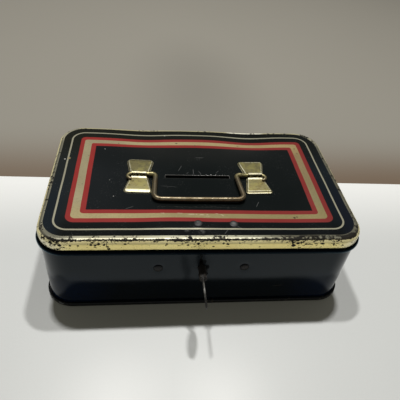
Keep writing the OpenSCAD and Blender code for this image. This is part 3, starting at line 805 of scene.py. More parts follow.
def stripe_wear(look, colour, ragged, fine, gold_stripe):
    """A colour with the dark chips of the printed stripes and pale streaks of painted highlight."""
    x = look.x + (ragged - 0.5) * 1.6
    y = look.y - (ragged - 0.5) * 1.4
    chips = look.spots(x, y, STRIPE_CHIPS)
    # Painted highlights: pale streaks that stand for the lamps' glints where the tin bends
    painted_streaks = look.scratches(x, y, STRIPE_HIGHLIGHTS) * ragged.rise(0.40, 0.52)
    strewn = (fine * 0.55 + ragged * 0.6).rise(0.76, 0.82) * gold_stripe
    colour = look.mix((chips * 0.85).most(strewn * 0.5), colour, (0.03, 0.026, 0.018))
    return look.mix(painted_streaks * 0.8, colour, (0.72, 0.64, 0.46))


def lid_specks(look, colour, ragged):
    """A colour with the pale specks and the one brown blob of the lid."""
    pale = look.spots(look.x, look.y, PALE_SPECKS)
    colour = look.mix(pale * 0.8, colour, (0.75, 0.74, 0.70))
    blob = look.spot(look.x + (ragged - 0.5) * 1.5, look.y, (-81.3, 16.9), 0.9)
    return look.mix(blob * 0.8, colour, (0.36, 0.30, 0.16))


def lid_print():
    """The lid's outside: its printed stripes, its brass rim and their wear."""
    look = Shade("printed tin")
    over = look.mark("rim")
    shapes = print_shapes(look)
    panel, red_in, gold, red_out, gap, line, band = shapes
    gold_stripe = gold - red_in
    printed = (line - gap) + (red_out - panel)
    golden = (line - gap) + gold_stripe
    bare = 1 - band

    # Brass over the rim, worn to iron
    brass, rim_metal = rim_brass(look, over)
    colour = look.mix(bare, printed_colour(look, shapes), brass)
    chipped = RimWear(look, over).everywhere() * bare
    iron = look.mix(look.grain(260.0, 2.0), (0.004, 0.0035, 0.002), (0.016, 0.013, 0.008))
    colour = look.mix(chipped, colour, iron)

    # Wear of the print and of the lacquer
    ragged = look.grain(420.0, 4.0, 0.62)
    fine = look.grain(1500.0, 2.0, 0.5, shift=7.0)
    colour = stripe_wear(look, colour, ragged, fine, gold_stripe)
    marks = look.scratches(look.x, look.y, LID_SCRATCHES)
    rubbed = look.faint_spots(look.x, look.y, LID_RUBS) * look.grain(520.0, 3.0).rise(0.40, 0.62)
    dust = fine.rise(0.64, 0.72) * look.grain(70.0, 2.0, shift=5.0).rise(0.42, 0.62)
    dark = 1 - (printed + bare).least(1.0)
    grey = ((marks * 0.5).most(dust * 0.18)).most(rubbed * 0.7) * dark
    colour = look.mix(grey, colour, (0.20, 0.20, 0.20))
    colour = lid_specks(look, colour, ragged)

    # The bare edge of the coin slot
    lip = look.rectangle(look.x - SLOT_X, look.y, SLOT_HALF_L, SLOT_HALF_W, 0.4).rise(0.34, 0.12)
    lip = lip * look.z.rise(54.2, 54.5)
    colour = look.mix(lip * 0.8, colour, (0.16, 0.155, 0.15))

    skirt = over.rise(1.4, 3.2)
    rough = 0.13 + look.grain(28.0, 4.0, 0.6).rise(0.35, 0.75) * 0.10 + dust * 0.25
    rough = rough + printed * 0.20 + bare * (0.24 - skirt * 0.15) + chipped * 0.30 + lip * 0.2
    metal = (golden * 0.35 + bare * rim_metal).least(0.95) * (1 - chipped)
    height = (1 - chipped) * 0.5 - grey * 0.3 + printed * 0.2 + ragged * bare * 0.15
    return look.finish(colour, rough, metal, height, 0.05, IOR=1.28)


def lid_rivet_lacquer():
    """Lacquer of the lid's two rivet heads, rubbed grey in their middles."""
    look = Shade("lid rivet")
    worn = (look.grain(520.0, 3.0) + 0.15).rise(0.42, 0.72)
    middle = look.spots(look.x, look.y, [(at, 1.1, 1.1) for at in CATCH_RIVETS])
    colour = look.mix(worn * middle * 0.8, colours().lacquer, (0.16, 0.16, 0.16))
    return look.finish(colour, 0.3 + worn * 0.25, 0.0, worn, 0.04, IOR=1.4)


# Materials of the body

def tin_look(look, darker):
    """Colour, roughness and metal of plain tinplate with a soft crystal pattern."""
    base = scaled(colours().tinplate, darker)
    bloom = look.grain(45.0, 4.0, 0.6)
    spots = look.grain(700.0, 3.0, 0.6).rise(0.62, 0.74)
    colour = look.mix(bloom, scaled(base, 0.62), base)
    colour = look.mix(spots * 0.5, colour, (0.12, 0.075, 0.04))
    return colour, 0.32 + bloom * 0.2 + spots * 0.25, 1 - spots * 0.6


def tinplate(name, darker=1.0):
    """The plain tin that the box shows inside."""
    look = Shade(name)
    return look.finish(*tin_look(look, darker), look.grain(260.0, 3.0), 0.03)


def keyhole_wear(look, ragged, coarse, front):
    """The patch round the keyhole that is worn to black iron."""
    across = look.x + (ragged - 0.5) * 2.6 + (coarse - 0.5) * 1.4
    up = look.z + (coarse - 0.5) * 2.0 - (ragged - 0.5) * 1.6
    worn = most_of(look.rectangle(across - x, up - z, half_x, half_z, corner).rise(0.3, -0.2)
                   for x, z, half_x, half_z, corner in KEYHOLE_WEAR)
    return worn * front


def body_lacquer():
    """Glossy navy lacquer, worn to black iron round the keyhole, bluer at its lower ends by
    painted reflection, and dark metal on the bead by painted shade.
    """
    look = Shade("navy lacquer")
    base = colours().navy
    ragged = look.grain(520.0, 4.0, 0.65, shift=2.0)
    coarse = look.grain(190.0, 3.0, 0.6)
    fine = look.grain(1300.0, 2.0)
    dust = fine.rise(0.66, 0.75) * look.grain(60.0, 2.0, shift=4.0).rise(0.45, 0.65)
    front = look.y.rise(-53.0, -54.0)
    bare = keyhole_wear(look, ragged, coarse, front)
    nick = look.scratch(look.x, look.z, (42.5, 14.5), (50.5, 15.3), 0.3) * front
    edges = look.z.rise(45.0, 46.2).most(look.z.rise(4.0, 2.6))
    chips = (ragged + (fine - 0.5) * 0.1).rise(0.66, 0.69) * edges

    # Painted reflection: bluer towards the lower ends, for the bluish reflections there
    bluer = look.x.abs().rise(45.0, 75.0) * look.z.rise(34.0, 14.0)
    colour = look.mix(bluer, base, scaled(base, 1.0, 2.0, 3.6))
    colour = look.mix(dust * 0.06, colour, (0.3, 0.3, 0.3))
    colour = look.mix(bare, colour, (0.0016, 0.0014, 0.0012))
    glints = bare * look.grain(1900.0, 2.0, 0.6, shift=9.0).rise(0.66, 0.72)
    colour = look.mix(glints * look.z.rise(34.0, 31.0), colour, (0.35, 0.32, 0.27))
    colour = look.mix(chips * 0.5 + nick * 0.2, colour, (0.12, 0.10, 0.075))

    smudge = look.grain(24.0, 4.0, 0.6, stretch=(1, 1, 0.5)).rise(0.35, 0.8)
    dulled = look.spot(look.x, look.z, (LOCK_X - 0.5, 38.0), 6.5, 3.5) * front
    rough = 0.085 + smudge * 0.07 + dust * 0.2 + chips * 0.3
    rough = (rough + dulled * 0.22).most(bare * 0.85)
    wavy = look.grain(16.0, 1.0, 0.4, stretch=(1, 1, 0.7)) * 0.9 + ragged * bare * 0.25
    # Painted shade: the bead under the lid's skirt made dark metal and rougher
    bead = look.z.rise(44.9, 45.3) * look.z.rise(48.5, 48.2)
    return look.finish(colour, rough + bead * 0.2, bead * 0.9 * (1 - chips), wavy, 0.35,
                       IOR=1.30, Specular_Tint=(0.72, 0.89, 1.0, 1.0))


def seam_lacquer():
    """Black lacquer of the folded base seam, with rubbed patches and a painted highlight,
    and the tinplate inside it.
    """
    look = Shade("seam lacquer")
    ragged = look.grain(600.0, 4.0, 0.6)
    worn = (ragged + look.grain(70.0, 2.0) * 0.6).rise(0.92, 1.02)
    colour = look.mix(worn * 0.6, colours().lacquer, (0.10, 0.085, 0.065))
    # Painted highlight: a pale streak along the seam at the front left
    bright = look.scratch(look.x, look.z + (ragged - 0.5) * 0.8, (-84.0, 1.9), (-80.0, 1.7), 0.5)
    bright = bright * look.y.rise(-50.0, -52.0)
    colour = look.mix(bright * 0.8, colour, (0.36, 0.38, 0.40))
    rough = 0.16 + look.grain(80.0, 3.0) * 0.12 + worn * 0.3

    inside = look.rectangle(look.x, look.y, HALF_L - TIN, HALF_D - TIN, CORNER - TIN)
    floor = inside.rise(0.1, -0.1) * look.z.rise(2.35, 2.5)
    tin_colour, tin_rough, tin_metal = tin_look(look, 0.6)
    colour = look.mix(floor, colour, tin_colour)
    rough = rough + floor * (tin_rough - rough)
    metal = worn * 0.5 * (1 - floor) + tin_metal * floor
    return look.finish(colour, rough, metal, ragged, 0.06, IOR=1.3)


def front_rivet_lacquer():
    """Black lacquer of the lock's rivet heads, worn brown, with painted shade round their edges."""
    look = Shade("front rivet")
    worn = look.grain(700.0, 3.0).rise(0.45, 0.7)
    off_x, off_z = (look.x - LOCK_X).abs() - LOCK_RIVETS, look.z - LOCK_Z
    # Painted shade: each head darkest round its edge
    edge = (off_x * off_x + off_z * off_z).root().rise(1.7, 2.1)
    colour = look.mix(worn * 0.7, (0.007, 0.007, 0.008), (0.042, 0.034, 0.028))
    colour = look.mix(edge * 0.9, colour, (0.003, 0.003, 0.004))
    return look.finish(colour, 0.32 + worn * 0.3, 0.1, worn, 0.04, IOR=1.3)


# Materials of the fittings

def aged_brass(name, base, dark, mottle, rough_low, clip=False, bright=None):
    """Brass with tarnish in patches, dark specks and fine scratches."""
    look = Shade(name)
    patches = look.grain(mottle, 4.0, 0.62, bend=0.6)
    small = look.grain(mottle * 5.0, 3.0, 0.6, shift=2.0)
    blots = look.grain(mottle * 3.0, 3.0, 0.6, shift=4.0).rise(0.60, 0.67)
    specks = look.grain(1100.0, 2.0, 0.6, shift=5.0).rise(0.64, 0.70)
    lines = look.grain(520.0, 2.0, 0.5, stretch=(0.25, 1.6, 1.0), shift=1.0).rise(0.58, 0.68)
    tarnish = (patches * 0.7 + small * 0.5).rise(0.46, 0.74)
    colour = look.mix(tarnish * dark, base, scaled(base, 0.50, 0.42, 0.34))
    if bright:
        colour = look.mix(look.y.rise(-6.0, -1.0) * (1 - tarnish * 0.5), colour, bright)
    colour = look.mix(blots * 0.6, colour, scaled(base, 0.22, 0.18, 0.12))
    colour = look.mix((specks * 0.6).most(lines * 0.3), colour, (0.035, 0.028, 0.016))
    rough = rough_low + tarnish * 0.14 + specks * 0.2 + small * 0.08
    if clip:
        # The rubbed mark: pale crests and edges, partly a painted highlight
        rubbed = look.mark("rubbed") * small.rise(0.30, 0.50)
        colour = clip_wear(look, base, colour, small, rubbed)
        rough = rough + rubbed * 0.06
    return look.finish(colour, rough, 1 - specks * 0.5, small + lines * 0.4 - blots * 0.5, 0.03)


def clip_wear(look, base, colour, small, rubbed):
    """A colour with the back pad in painted shade, mossy patches, crests rubbed pale and partly
    a painted highlight, and painted shade in the groove.
    """
    # Painted shade: the back pad darker than the front one
    colour = look.mix(look.y.rise(0.0, 3.0) * 0.75, colour, scaled(base, 0.4))
    mossy = look.grain(220.0, 3.0, 0.6, shift=9.0).rise(0.45, 0.62)
    colour = look.mix(mossy * 0.35, colour, scaled(base, 1.1, 1.12, 0.75))
    # Crests and edges rubbed pale, partly a painted highlight
    colour = look.mix(rubbed * 0.9, colour, (0.80, 0.77, 0.60))
    # Painted shade in the grooves beside the barrel
    groove_shade = look.mark("groove") * small.rise(0.34, 0.52)
    return look.mix(groove_shade * 0.95, colour, (0.016, 0.014, 0.008))


def plain_steel(name, base, rust, rough_low):
    """Steel with brushed lines and patches of brown rust."""
    look = Shade(name)
    patches = look.grain(160.0, 4.0, 0.65)
    brown = patches.rise(0.60 - rust * 0.3, 0.78 - rust * 0.2)
    brushed = look.grain(900.0, 2.0, 0.5, stretch=(0.2, 1.0, 1.0))
    colour = look.mix(brushed * 0.5, base, scaled(base, 0.6))
    colour = look.mix(brown * 0.8, colour, (0.055, 0.034, 0.02))
    rough = rough_low + brushed * 0.14 + brown * 0.3
    return look.finish(colour, rough, 1 - brown * 0.7, patches + brushed * 0.3, 0.03)


def key_iron():
    """Black worn iron of the key's barrel, with bright specks round its end."""
    look = Shade("key barrel iron")
    patches = look.grain(260.0, 4.0, 0.65)
    colour = look.mix(patches.rise(0.4, 0.7), scaled(colours().iron, 0.4), (0.012, 0.008, 0.005))
    glints = look.y.rise(-60.6, -61.4) * look.grain(1400.0, 2.0, 0.6, shift=3.0).rise(0.53, 0.60)
    colour = look.mix(glints, colour, (0.12, 0.12, 0.115))
    return look.finish(colour, 0.62 + patches * 0.25, 0.35, patches, 0.08)


def key_steel():
    """Steel of the key's bow, black by the barrel and at its end, with a painted highlight on it.
    """
    look = Shade("key bow steel")
    base = scaled(colours().steel, 0.42)
    spots = look.grain(420.0, 4.0, 0.65)
    colour = look.mix(spots.rise(0.5, 0.7) * 0.6, base, scaled(base, 0.4))
    # Painted highlight: a bright band across the bow
    held = (look.y + 74.8).abs().rise(1.7, 0.4) * look.z.rise(31.0, 33.5)
    colour = look.mix(held, colour, scaled(base, 2.9))
    # Darker by the barrel and at the bow's far end
    darkened = (look.y.rise(-71.5, -69.0) * 0.9).most(look.y.rise(-77.0, -78.2) * 0.85)
    colour = look.mix(darkened, colour, (0.006, 0.005, 0.004))
    return look.finish(colour, 0.38 + spots * 0.15 + darkened * 0.3, 1 - darkened * 0.8, spots, 0.05)


# The stage

def table_top():
    """The pale table with a faint grain. Painted light makes it brighter behind the box
    and in two places before it, and painted shade makes it darker at the front left.
    """
    look = Shade("pale table")
    base = colours().table
    speck = look.grain(800.0, 2.0, 0.5)
    colour = look.mix(look.grain(9.0, 3.0, 0.55) * 0.5, base, scaled(base, 0.88))
    colour = look.mix(speck * 0.12, colour, scaled(base, 0.7))
    # Painted light: brighter behind the box and in two pools before it
    bright = look.y.rise(-15.0, 75.0).most(look.faint_spots(look.x, look.y, TABLE_LIGHT_POOLS))
    colour = look.mix(bright, colour, [min(0.99, channel) for channel in scaled(base, 1.34)])
    # Painted shade: darker at the front left
    shade = look.spot(look.x, look.y, (-118.0, -100.0), 30.0, 50.0)
    colour = look.mix(shade * 0.09, colour, (0.3, 0.3, 0.3))
    return look.finish(colour, 0.42, 0.0, speck, 0.03, IOR=1.45)


def backdrop_sheet():
    """The beige backdrop, browner along its near edge, with painted shade in the middle."""
    look = Shade("beige backdrop")
    base = colours().backdrop
    near = look.y.rise(165.0, 58.0)
    colour = look.mix(near * near, base, (0.145, 0.092, 0.053))
    # Painted shade: a darker patch in the middle, behind the box
    behind = look.spot(look.x, look.y * 0.5, (22.0, 110.0), 50.0, 50.0)
    colour = look.mix(behind * 0.42, colour, scaled(base, 0.5))
    colour = look.mix(look.grain(4.0, 2.0) * 0.3, colour, scaled(base, 1.15))
    return look.finish(colour, 0.8)


def photo_camera():
    """The camera that looks as the photograph's did."""
    ahead = Vector((math.sin(CAMERA_YAW) * math.cos(CAMERA_PITCH),
                    math.cos(CAMERA_YAW) * math.cos(CAMERA_PITCH), -math.sin(CAMERA_PITCH)))
    level = ahead.cross(Vector((0, 0, 1))).normalized()
    above = level.cross(ahead)
    right = math.cos(CAMERA_ROLL) * level + math.sin(CAMERA_ROLL) * above
    up = math.cos(CAMERA_ROLL) * above - math.sin(CAMERA_ROLL) * level
    turn = Matrix((right, up, -ahead)).transposed().to_4x4()
    lens = bpy.data.cameras.new("photo camera")
    lens.sensor_width, lens.lens = SENSOR, LENS
    lens.clip_start = 0.01
    camera = in_scene("photo_camera", lens)
    camera.matrix_world = Matrix.Translation(CAMERA_PLACE) @ turn
    return camera


def table_and_backdrop():
    """The two flat sheets under and behind the box, in metres."""
    reach = STAGE_REACH
    near, far = (-reach, -reach), (reach, reach)
    edge = (EDGE_Y - EDGE_SLOPE * reach, EDGE_Y + EDGE_SLOPE * reach)
    for name, front, back, material in (("table", near, edge, table_top()),
                                        ("backdrop", edge, far, backdrop_sheet())):
        mesh = bpy.data.meshes.new(name)
        mesh.from_pydata([(-reach, front[0], 0), (reach, front[1], 0), (reach, back[1], 0),
                          (-reach, back[0], 0)], [], [(0, 1, 2, 3)])
        mesh.materials.append(material)
        sheet = in_scene(name, mesh)


def ceiling_lamps():
    """The two lamps, turned toward the box."""
    for name, place, power in LAMPS:
        data = bpy.data.lights.new(name, "AREA")
        data.shape, data.size, data.size_y = "RECTANGLE", LAMP_LENGTH, LAMP_WIDTH
        data.energy = power
        data.color = LAMP_COLOUR
        lamp = in_scene(name, data)
        lamp.location = place
        lamp.rotation_euler = (-Vector(place)).to_track_quat("-Z", "Y").to_euler()


def room():
    """The room's light: what gloss reflects of it, and the even light that it gives."""
    world = bpy.data.worlds.new("room")
    nodes = Nodes(world)
    _, toward_y, toward_z = nodes.parts(nodes.take("TexCoord", "Generated"))
    height = nodes.take("MapRange", 0, {}, {
        "Value": toward_z, "From Min": 0.05, "From Max": 0.75})
    behind = nodes.take("MapRange", 0, {}, {
        "Value": toward_y, "From Min": -0.5, "From Max": -0.1, "To Min": 0.25})
    walls = nodes.mix(height * behind, (0.30, 0.29, 0.265), (0.10, 0.10, 0.10))
    seen = nodes.take("Background", 0, {}, {"Color": walls})
    even = nodes.take("Background", 0, {}, {"Color": (0.118, 0.112, 0.088, 1.0)})
    on_dull = nodes.take("LightPath", "Is Diffuse Ray")
    both = nodes.take("MixShader", 0, {}, {0: on_dull, 1: seen, 2: even})
    nodes.node("OutputWorld", {}, {"Surface": both})
    return world


# Operators

class MONEYBOX_OT_stage(bpy.types.Operator):
    """Sets the camera, the table, the backdrop and the lamps"""

    bl_idname = "money_box.stage"
    bl_label = "Stage"

    def execute(self, context):
        scene = context.scene
        scene.camera = photo_camera()
        table_and_backdrop()
        ceiling_lamps()
        scene.world = room()
        scene.view_settings.view_transform = "Standard"
        return {"FINISHED"}


def lid_wave(x, y):
    """How far the lid's top is bent up or down at a place, in millimetres."""
    deep = sizes().dent * TO_MM
    bend = sum(share * deep * hill(x, y, at, spread) for share, at, spread in BENDS)
    return bend + 0.16 * noise.noise(Vector((x / 26, y / 26, 3.0)))


class MONEYBOX_OT_lid(bpy.types.Operator):
    """Makes the printed lid with its dents, its coin slot and its hinge tongues"""

    bl_idname = "money_box.lid"
    bl_label = "Lid"

    def execute(self, context):
        outside, inside = self.outside(), self.inside()
        rings = [wall_ring(out, z) for out, z in outside]
        over = [self.over(out, z) for out, z in outside]
        top = self.toward_slot(LID_TOP, 34)
        lip = self.slot_lip()
        below = self.toward_slot(LID_TOP - TIN, 17)[::-1]
        first_inside = len(rings) + len(top) + len(lip) - 1
        rings += top + lip + below + [wall_ring(out, z) for out, z in inside]
        over += [OFF_RIM] * (len(rings) - len(over))
        points, faces = loft(rings)
        count = len(rings[0])
        points = [self.bent(p) for p in points]
        marks = {"rim": [over[i // count] for i in range(len(points))]}
        choice = [1 if i // count >= first_inside else 0 for i in range(len(faces))]
        materials = [lid_print(), tinplate("lid inside", 0.8)]
        piece("lid_tin", "lid", points, faces, materials, marks, choice,
              ["lid_shell"])
        self.tongues()
        return {"FINISHED"}

    def outside(self):
        """The lid's outer section, as (out, z), up its skirt and over its shoulder."""
        section = [(-0.16, LID_LOW + 0.02), (-0.06, LID_LOW), (0.08, LID_LOW),
                   (0.17, LID_LOW + 0.06)]
        section += [(LID_PROUD, LID_LOW + 0.2 + 0.31 * i) for i in range(10)]
        section += arc(LID_PROUD - SHOULDER, LID_TOP - SHOULDER, SHOULDER, 0, 90, 14)
        return section + [(out, LID_TOP) for out in (-3.4, -4.4, -5.6, -7.2, -9.0, -11.0)]

    def inside(self):
        """The lid's inner section, from its flat down its skirt."""
        section = [(-8.0, LID_TOP - TIN), (-5.0, LID_TOP - TIN)]
        section += arc(LID_PROUD - SHOULDER, LID_TOP - SHOULDER, SHOULDER - TIN, 90, 0, 8)
        return section + [(LID_PROUD - TIN, LID_LOW + 1.6), (LID_PROUD - TIN, LID_LOW + 0.1)]

    def toward_slot(self, z, count):
        """Rings of the lid's flat, from a little inside its shoulder to the coin slot."""
        start = wall_ring(-12.6, z)
        end = outline_ring(SLOT_HALF_L + TIN, SLOT_HALF_W + TIN, SLOT_CORNER + TIN, z, SLOT_X)
        return [between(start, end, i / count) for i in range(count + 1)]

    def slot_lip(self):
        """Rings of the coin slot's lip, over its edge and down."""
        lowest = TIN - SLOT_LIP
        return [outline_ring(SLOT_HALF_L + wider, SLOT_HALF_W + wider, SLOT_CORNER + wider,
                             LID_TOP - TIN + height, SLOT_X)
                for wider, height in ((0.20, TIN - 0.05), (0.06, TIN - 0.18), (0.0, 0.0),
                                      (0.0, lowest), (TIN, lowest))]

    def over(self, out, z):
        """How far round the rim a point is, in millimetres from where the top starts to fall."""
        past, up = out - LID_PROUD + SHOULDER, z - (LID_TOP - SHOULDER)
        if up < 0:
            return SHOULDER * math.pi / 2 - up
        return SHOULDER * math.atan2(past, up + 1e-9) if past > 0 else past

    def bent(self, point):
        """A point of the lid, moved by the dents and by the small waves of its rim."""
        x, y, z = point
        share = eased((z - LID_LOW) / (LID_TOP - LID_LOW - 0.6))
        z += lid_wave(x, y) * share
        if max(abs(x) - HALF_L, abs(y) - HALF_D) > -4.0:
            wave = 0.09 * noise.noise(Vector((x / 9, y / 9, 7.0))) * share
            x += wave * x / HALF_L
            y += wave * y / HALF_D
        return x, y, z

    def tongues(self):
        """The two curled tongues that hang the lid on its hinge wire."""
        parts = [capped(self.tongue_rings(place)) for place in (-HINGE_X, HINGE_X)]
        points, faces = joined(*parts)
        piece("hinge_tongues", "lid", points, faces,
              [aged_brass("tongue brass", colours().rim, 0.7, 90.0, 0.3)])

    def tongue_section(self):
        """The section of a tongue: a strip that comes down and curls round the wire."""
        curl = 0.81
        line = [(-0.4, 2.9), (-0.4, 1.6), (-0.62, 0.8)]
        line += [(curl * math.cos(a), curl * math.sin(a))
                 for a in (math.radians(180 + 15 * i) for i in range(18))]
        outer, inner = [], []
        for i, (y, z) in enumerate(line):
            ahead = Vector(line[min(i + 1, len(line) - 1)]) - Vector(line[max(i - 1, 0)])
            side = Vector((-ahead.y, ahead.x)).normalized() * (TIN / 2)
            outer.append((y - side.x, z - side.y))
            inner.append((y + side.x, z + side.y))
        return outer + inner[::-1]

    def tongue_rings(self, place):
        """Rings of one tongue from its left end to its right, a little smaller at the ends."""
        cuts = [place - TONGUE_HALF + d for d in (0.0, 0.15, 3.0, 7.0, 11.0, 13.85, 14.0)]
        section = self.tongue_section()
        return [[(x, HINGE_Y + y * (0.94 if x in (cuts[0], cuts[-1]) else 1.0), BEAD_Z + z)
                 for y, z in section] for x in cuts]


class MONEYBOX_OT_lid_fittings(bpy.types.Operator):
    """Makes the worn rivet heads on the lid and finishes the catch under it"""

    bl_idname = "money_box.lid_fittings"
    bl_label = "Lid catch and rivets"

    def execute(self, context):
        dome = [(2.3, -0.5), (2.3, -0.02), (2.1, 0.05), (1.8, 0.13), (1.3, 0.2), (0.7, 0.24),
                (0.05, 0.25)]
        tail = [(0.05, -2.1), (1.7, -2.05), (1.9, -1.8), (1.9, -1.3), (1.25, -1.25),
                (1.25, -0.4), (0.05, -0.4)]
        rivets = []
        for x, y in CATCH_RIVETS:
            place = Matrix.Translation((x, y, LID_TOP + lid_wave(x, y)))
            rivets += [moved(lathe(profile), place) for profile in (dome, tail)]
        points, faces = joined(*rivets)
        piece("lid_rivets", "lid", points, faces, [lid_rivet_lacquer()],
              replaces=["catch_rivets"])
        paint_nodes(plain_steel("catch steel", colours().steel, 0.4, 0.3), "steel", "lid_catch")
        return {"FINISHED"}


class MONEYBOX_OT_clips(bpy.types.Operator):
    """Makes the two embossed clips that hold the handle"""

    bl_idname = "money_box.clips"
    bl_label = "Handle clips"

    def execute(self, context):
        material = aged_brass("clip brass", colours().brass, 0.75, 150.0, 0.36, True)
        for name, x, degrees, flat in CLIPS:
            points, faces, marks = self.sheet(flat)
            place = (Matrix.Translation((x, 0, LID_TOP))
                     @ Matrix.Rotation(math.radians(degrees), 4, "Z"))
            points, faces = moved(joined((points, faces), *self.tabs()), place)
            for values in marks.values():
                values += [0.0] * (len(points) - len(values))
            piece("clip_" + name, "lid", points, faces, [material],
                  marks, replaces=["handle_clip_" + name], sharp=50)
        return {"FINISHED"}

    def half_width(self, y):
        """Half the width of the clip at a distance from its barrel."""
        waist, spread, corner = (5.5, 3.2, 2.3) if y < 0 else (6.1, 2.8, 3.3)
        wide = waist + spread * max(0.0, (abs(y) - 1.8) / (CLIP_END - 1.8))
        over = abs(y) - (CLIP_END - corner)
        if over <= 0:
            return wide
        return wide - corner + math.sqrt(max(0.0, corner ** 2 - over ** 2))

    def pad(self, x, y, flat):
        """Height of the embossed sheet; a flat pad drops in one step to its front flange."""
        edge, end = self.half_width(y) - abs(x), CLIP_END - abs(y)
        near_barrel = max(0.0, (3.6 - abs(y)) / 1.8)
        top = 1.12 - 0.55 * (1 - flat) * max(0.0, 1 - end / 2.6) ** 2 + 0.3 * near_barrel ** 1.5
        top += 0.10 * (1 - (x / 8.0) ** 2) * (1 - ((abs(y) - 9.0) / 8.0) ** 2)
        rise = min((edge - 0.32) / 0.7, (end - 0.8 * flat - 0.06) / (0.55 * flat + 0.14))
        lip = 0.24 + 0.18 * math.sqrt(clamped(min(edge, end) / 0.25))
        lip += 0.14 * min(edge, end, 0.9)
        return lip + eased(rise) * max(0.0, top - lip)

    def worn(self, x, y, flat):
        """How pale the brass is rubbed on its crests, rim, front end and waist, partly a painted
        highlight.
        """
        edge, end = self.half_width(y) - abs(x), CLIP_END - abs(y)
        crest = 1 - abs(min(edge - 1.05, end - (1.6 if flat else 0.6))) / 0.4
        rim = 0.8 - min(edge, end) / 0.45
        front, waist = 0.0, 0.0
        if y < 0:
            front = min(0.9 if flat else 0.45, ((0.8 if flat else 2.3) - end) / 0.3)
            waist = (3.5 + y) / 0.8
        return min(1.0, max(0.0, crest * 0.9, rim, front, min(0.8, waist)))

    def rows(self):
        """Rows of the sheet from front to back: y and z of its outer face, z and y of its
        inner face, and its painted groove shade. On the pads z is None, as the embossing sets it."""
        rise, outer, inner = PIVOT_Z - LID_TOP, 1.68, 1.18
        wing = [1.95 + 0.15 * i for i in range(10)]
        wing += [3.3 + (CLIP_END - 3.3) * i / 34 for i in range(1, 30)]
        wing += [CLIP_END - d
                 for d in (1.7, 1.5, 1.3, 1.1, 0.9, 0.75, 0.6, 0.45, 0.3, 0.18, 0.06, 0.0)]
        rows = [(-y, None, 0.0, -y, 0.0) for y in wing[::-1]]
        rows += [(-1.80, 0.75, 0.0, -1.4, 1.0), (-outer, 0.9, 0.3, -inner, 1.0)]
        for i in range(17):
            a = math.radians(180 - 11.25 * i)
            rows.append((outer * math.cos(a), rise + outer * math.sin(a),
                         rise + inner * math.sin(a), inner * math.cos(a), 1.0 if i < 5 else 0.0))
        rows += [(outer, 0.9, 0.3, inner, 1.0), (1.80, 0.75, 0.0, 1.4, 1.0)]
        return rows + [(y, None, 0.0, y, 0.0) for y in wing]

    def sheet(self, flat):
        """The clip's sheet, from its front pad over the barrel to its back pad."""
        shares = [-1.0, -0.985, -0.96, -0.93, -0.9, -0.86, -0.82]
        shares += [-0.75 + 0.1 * i for i in range(16)] + [-share for share in shares[::-1]]
        rings, groove, rubbed = [], [], []
        for y, z, low_z, low_y, groove_shade in self.rows():
            on_pad = z is None
            wide = self.half_width(y) if on_pad else BARREL_HALF
            across = [share * wide for share in shares]
            upper = [(x, y, self.pad(x, y, flat) if on_pad else z) for x in across]
            rings.append(upper + [(x, low_y, low_z) for x in across[::-1]])
            groove += [groove_shade] * len(rings[-1])
            # Rubbed crests, partly a painted highlight; the barrel's top pale outside the grooves
            bright = [self.worn(x, y, flat) if on_pad else 0.55 - 0.55 * groove_shade for x in across]
            rubbed += bright + bright[::-1]
        points, faces = capped(rings)
        return points, faces, {"groove": groove, "rubbed": rubbed}

    def tabs(self):
        """The ends of the clip that go through the lid and are bent under it."""
        parts = []
        for side in (-1, 1):
            y = side * TAB_Y
            parts.append(block((-3, y - 0.25, -0.95), (3, y + 0.25, 0.3), 0.08))
            ends = sorted((side * (TAB_Y + 0.25), side * (TAB_Y - 3.9)))
            parts.append(block((-3, ends[0], -0.98), (3, ends[1], -0.5), 0.1))
        return parts


